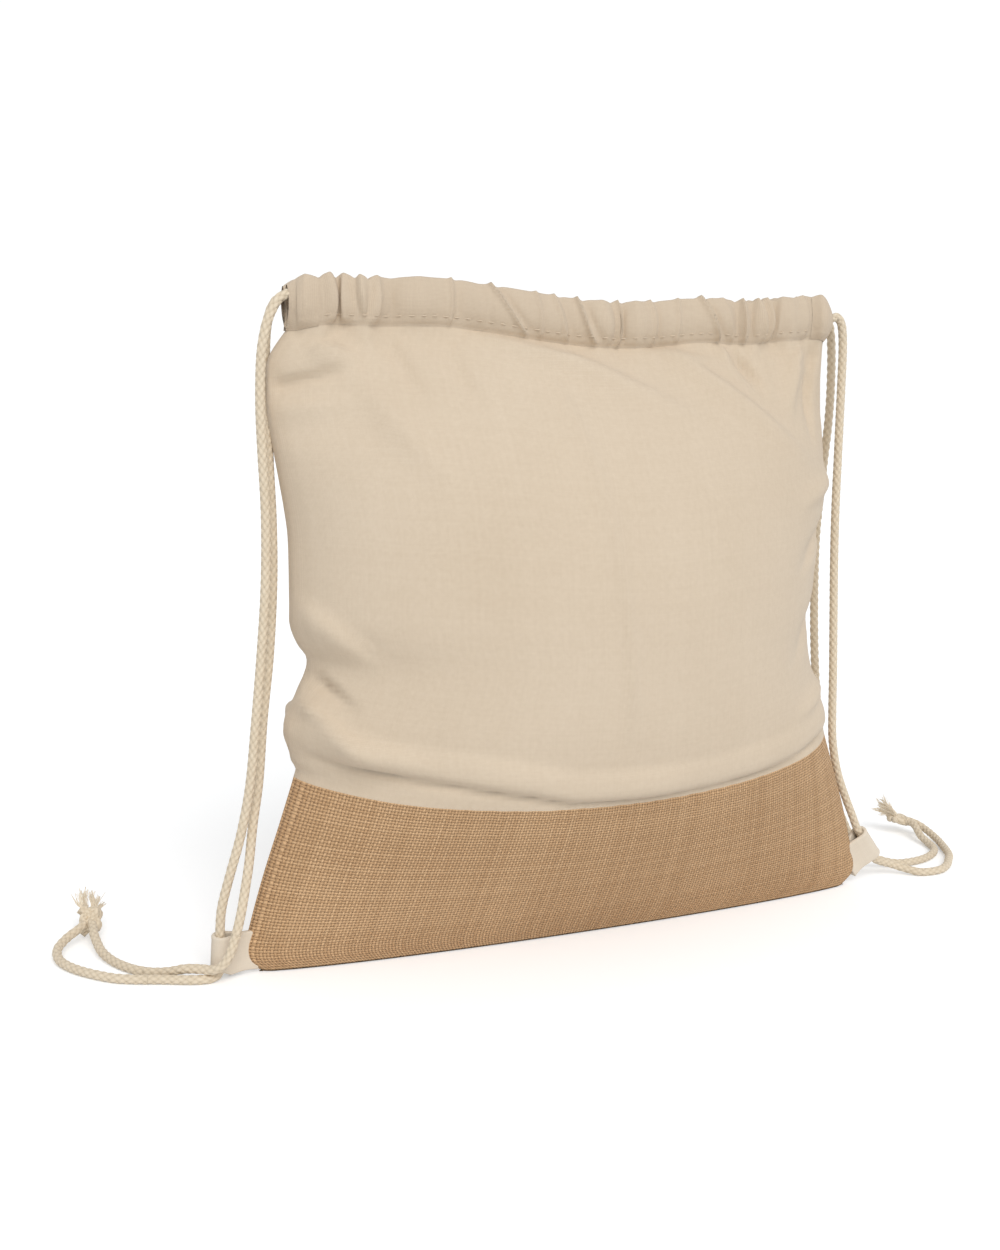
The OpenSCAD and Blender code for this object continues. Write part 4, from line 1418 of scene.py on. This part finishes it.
def cloth_material(name, light, dark, painted_gap_shade, widths, bump, clouds=14.0, flecks=700.0,
                   tone_share=0.35, roughness=0.85, sheen=0.15, glow=0.0):
    material = bpy.data.materials.new(name)
    material.use_nodes = True
    tree = material.node_tree
    tree.nodes.clear()
    threads = add_node(tree, "ShaderNodeUVMap", uv_map="threads")
    weave = add_node(tree, "ShaderNodeGroup", node_tree=woven_threads)
    feed(tree, weave.inputs["Threads"], threads.outputs[0])
    feed(tree, weave.inputs["Width Across"], widths[0])
    feed(tree, weave.inputs["Width Up"], widths[1])
    place = add_node(tree, "ShaderNodeTexCoord")
    uneven = add_node(tree, "ShaderNodeGroup", node_tree=uneven_colour)
    feed(tree, uneven.inputs["Place"], place.outputs["Object"])
    feed(tree, uneven.inputs["Cloud Scale"], clouds)
    feed(tree, uneven.inputs["Fleck Scale"], flecks)
    tone = maths(tree, "MULTIPLY", weave.outputs["Tone"], tone_share)
    tone = maths(tree, "MULTIPLY_ADD", uneven.outputs["Clouds"], 0.6 * (1 - tone_share), tone)
    tone = maths(tree, "MULTIPLY_ADD", uneven.outputs["Flecks"], 0.4 * (1 - tone_share), tone)
    colour = colour_mix(tree, tone, light, dark)
    # Painted shade: the colour sinks towards the shade tone where the threads dip, and the holes
    # between them show only that tone.
    depth = maths(tree, "SUBTRACT", 1.0, weave.outputs["Height"])
    shaded_in_dips = colour_mix(tree, maths(tree, "MULTIPLY", depth, 0.55), colour, painted_gap_shade)
    shown = colour_mix(tree, weave.outputs["Cover"], painted_gap_shade, shaded_in_dips)
    raised = maths(tree, "MULTIPLY_ADD", uneven.outputs["Flecks"], 0.35, weave.outputs["Height"])
    relief = add_node(tree, "ShaderNodeBump", {
        "Strength": 0.8, "Distance": bump, "Height": raised})
    # A finish with a glow gives off its light tone: painted light on a part that is no lamp.
    shader = add_node(tree, "ShaderNodeBsdfPrincipled", {
        "Base Color": shown, "Roughness": roughness, "Specular IOR Level": 0.2,
        "Sheen Weight": sheen, "Sheen Roughness": 0.6, "Emission Color": light,
        "Emission Strength": glow, "Normal": relief.outputs[0]})
    add_node(tree, "ShaderNodeOutputMaterial", {"Surface": shader.outputs[0]})
    return material


# The third colour of each finish is the painted shade between its threads.
materials = {
    "cotton": cloth_material(
        "natural cotton", (0.790, 0.675, 0.535), (0.570, 0.455, 0.325), (0.56, 0.45, 0.33),
        (0.97, 0.97), bump=0.00012, clouds=9.0, flecks=420.0, tone_share=0.12),
    # Painted shade: the channel's cotton is a darker copy of the body's, partly the doubled
    # cloth's own tone and partly the shade that the sleeve hangs in.
    "channel": cloth_material(
        "natural cotton, doubled, painted shade", (0.725, 0.610, 0.470), (0.585, 0.465, 0.345),
        (0.46, 0.36, 0.25), (0.97, 0.97), bump=0.00018, clouds=26.0, flecks=420.0,
        tone_share=0.15),
    "jute": cloth_material(
        "jute", (0.94, 0.635, 0.365), (0.50, 0.29, 0.14), (0.23, 0.115, 0.048), (0.84, 0.75),
        bump=0.0014, clouds=11.0, flecks=900.0, tone_share=0.36, roughness=0.8, sheen=0.05),
    # Painted light: the thread is lighter than the cotton it holds, to offset the shade where each
    # stitch dips into the cloth.
    "thread": cloth_material(
        "cotton thread", (0.88, 0.78, 0.64), (0.80, 0.69, 0.55), (0.66, 0.55, 0.42),
        (0.98, 0.98), bump=0.00005),
    "tab": cloth_material(
        "cream tape", (0.82, 0.73, 0.61), (0.72, 0.63, 0.51), (0.60, 0.51, 0.40),
        (0.99, 0.99), bump=0.00008),
    "cord": cloth_material(
        "braided cotton cord", (0.84, 0.73, 0.57), (0.70, 0.59, 0.44), (0.44, 0.34, 0.22),
        (0.96, 0.96), bump=0.0004, clouds=40.0, flecks=1600.0, tone_share=0.25),
    # Painted light: the fibres' pale cream is lifted further and given a faint glow, in place of
    # the light that passes between and through the fine fibres.
    "tassel": cloth_material(
        "cotton fibres", (0.92, 0.84, 0.71), (0.82, 0.72, 0.57), (0.80, 0.70, 0.55),
        (1.0, 1.0), bump=0.00001, clouds=40.0, flecks=1600.0, tone_share=0.2, roughness=0.9,
        sheen=0.1, glow=0.10),
}


def finished(pieces_of_slot, material):
    for piece in pieces_of_slot:
        piece.data.materials.clear()
        piece.data.materials.append(material)


for slot_name, pieces_in_slot in slots.items():
    finished(pieces_in_slot, materials[slot_name])
# The channel sleeves and hems get the darker cotton, partly painted shade.
finished([*channels.values(), *hems.values()], materials["channel"])
print("materials:", sorted(materials))

# %% [markdown]
# ## Floor, light and background
# A pale floor catches the soft shadow under the bag. One wide sun from the front and above gives
# the form, and the white surroundings fill the rest. The background is plain white to the camera.

# %% Studio
FLOOR_GLOW = 0.30
SKY_LIGHT = 0.58
SKY_EXTRA_SEEN = 0.46
bpy.ops.object.select_all(action="DESELECT")
bpy.ops.mesh.primitive_plane_add(size=30, location=(0, 0, 0))
floor = bpy.context.active_object
floor.name = "floor"
paper = bpy.data.materials.new("white paper")
paper.use_nodes = True
paper_tree = paper.node_tree
paper_tree.nodes.clear()
ray = add_node(paper_tree, "ShaderNodeLightPath")
glow = maths(paper_tree, "MULTIPLY", ray.outputs["Is Camera Ray"], FLOOR_GLOW)
surface = add_node(paper_tree, "ShaderNodeBsdfPrincipled", {
    "Base Color": (0.88, 0.89, 0.90), "Roughness": 1.0, "Specular IOR Level": 0.0,
    "Emission Color": (1, 1, 1), "Emission Strength": glow})
add_node(paper_tree, "ShaderNodeOutputMaterial", {"Surface": surface.outputs[0]})
floor.data.materials.append(paper)

world = bpy.data.worlds.new("white surroundings")
bpy.context.scene.world = world
world.use_nodes = True
world_tree = world.node_tree
world_tree.nodes.clear()
sky_ray = add_node(world_tree, "ShaderNodeLightPath")
seen = sky_ray.outputs["Is Camera Ray"]
strength = maths(world_tree, "MULTIPLY_ADD", seen, SKY_EXTRA_SEEN, SKY_LIGHT)
sky = add_node(world_tree, "ShaderNodeBackground", {"Color": (1, 1, 1), "Strength": strength})
add_node(world_tree, "ShaderNodeOutputWorld", {"Surface": sky.outputs[0]})

sun_data = bpy.data.lights.new("soft key", "SUN")
sun_data.energy = 1.62
sun_data.angle = math.radians(40)
sun = bpy.data.objects.new("soft key", sun_data)
bpy.context.collection.objects.link(sun)
sun.rotation_euler = (math.radians(50), 0, math.radians(-4))
bpy.context.scene.view_settings.view_transform = "Standard"
print("stage ready")
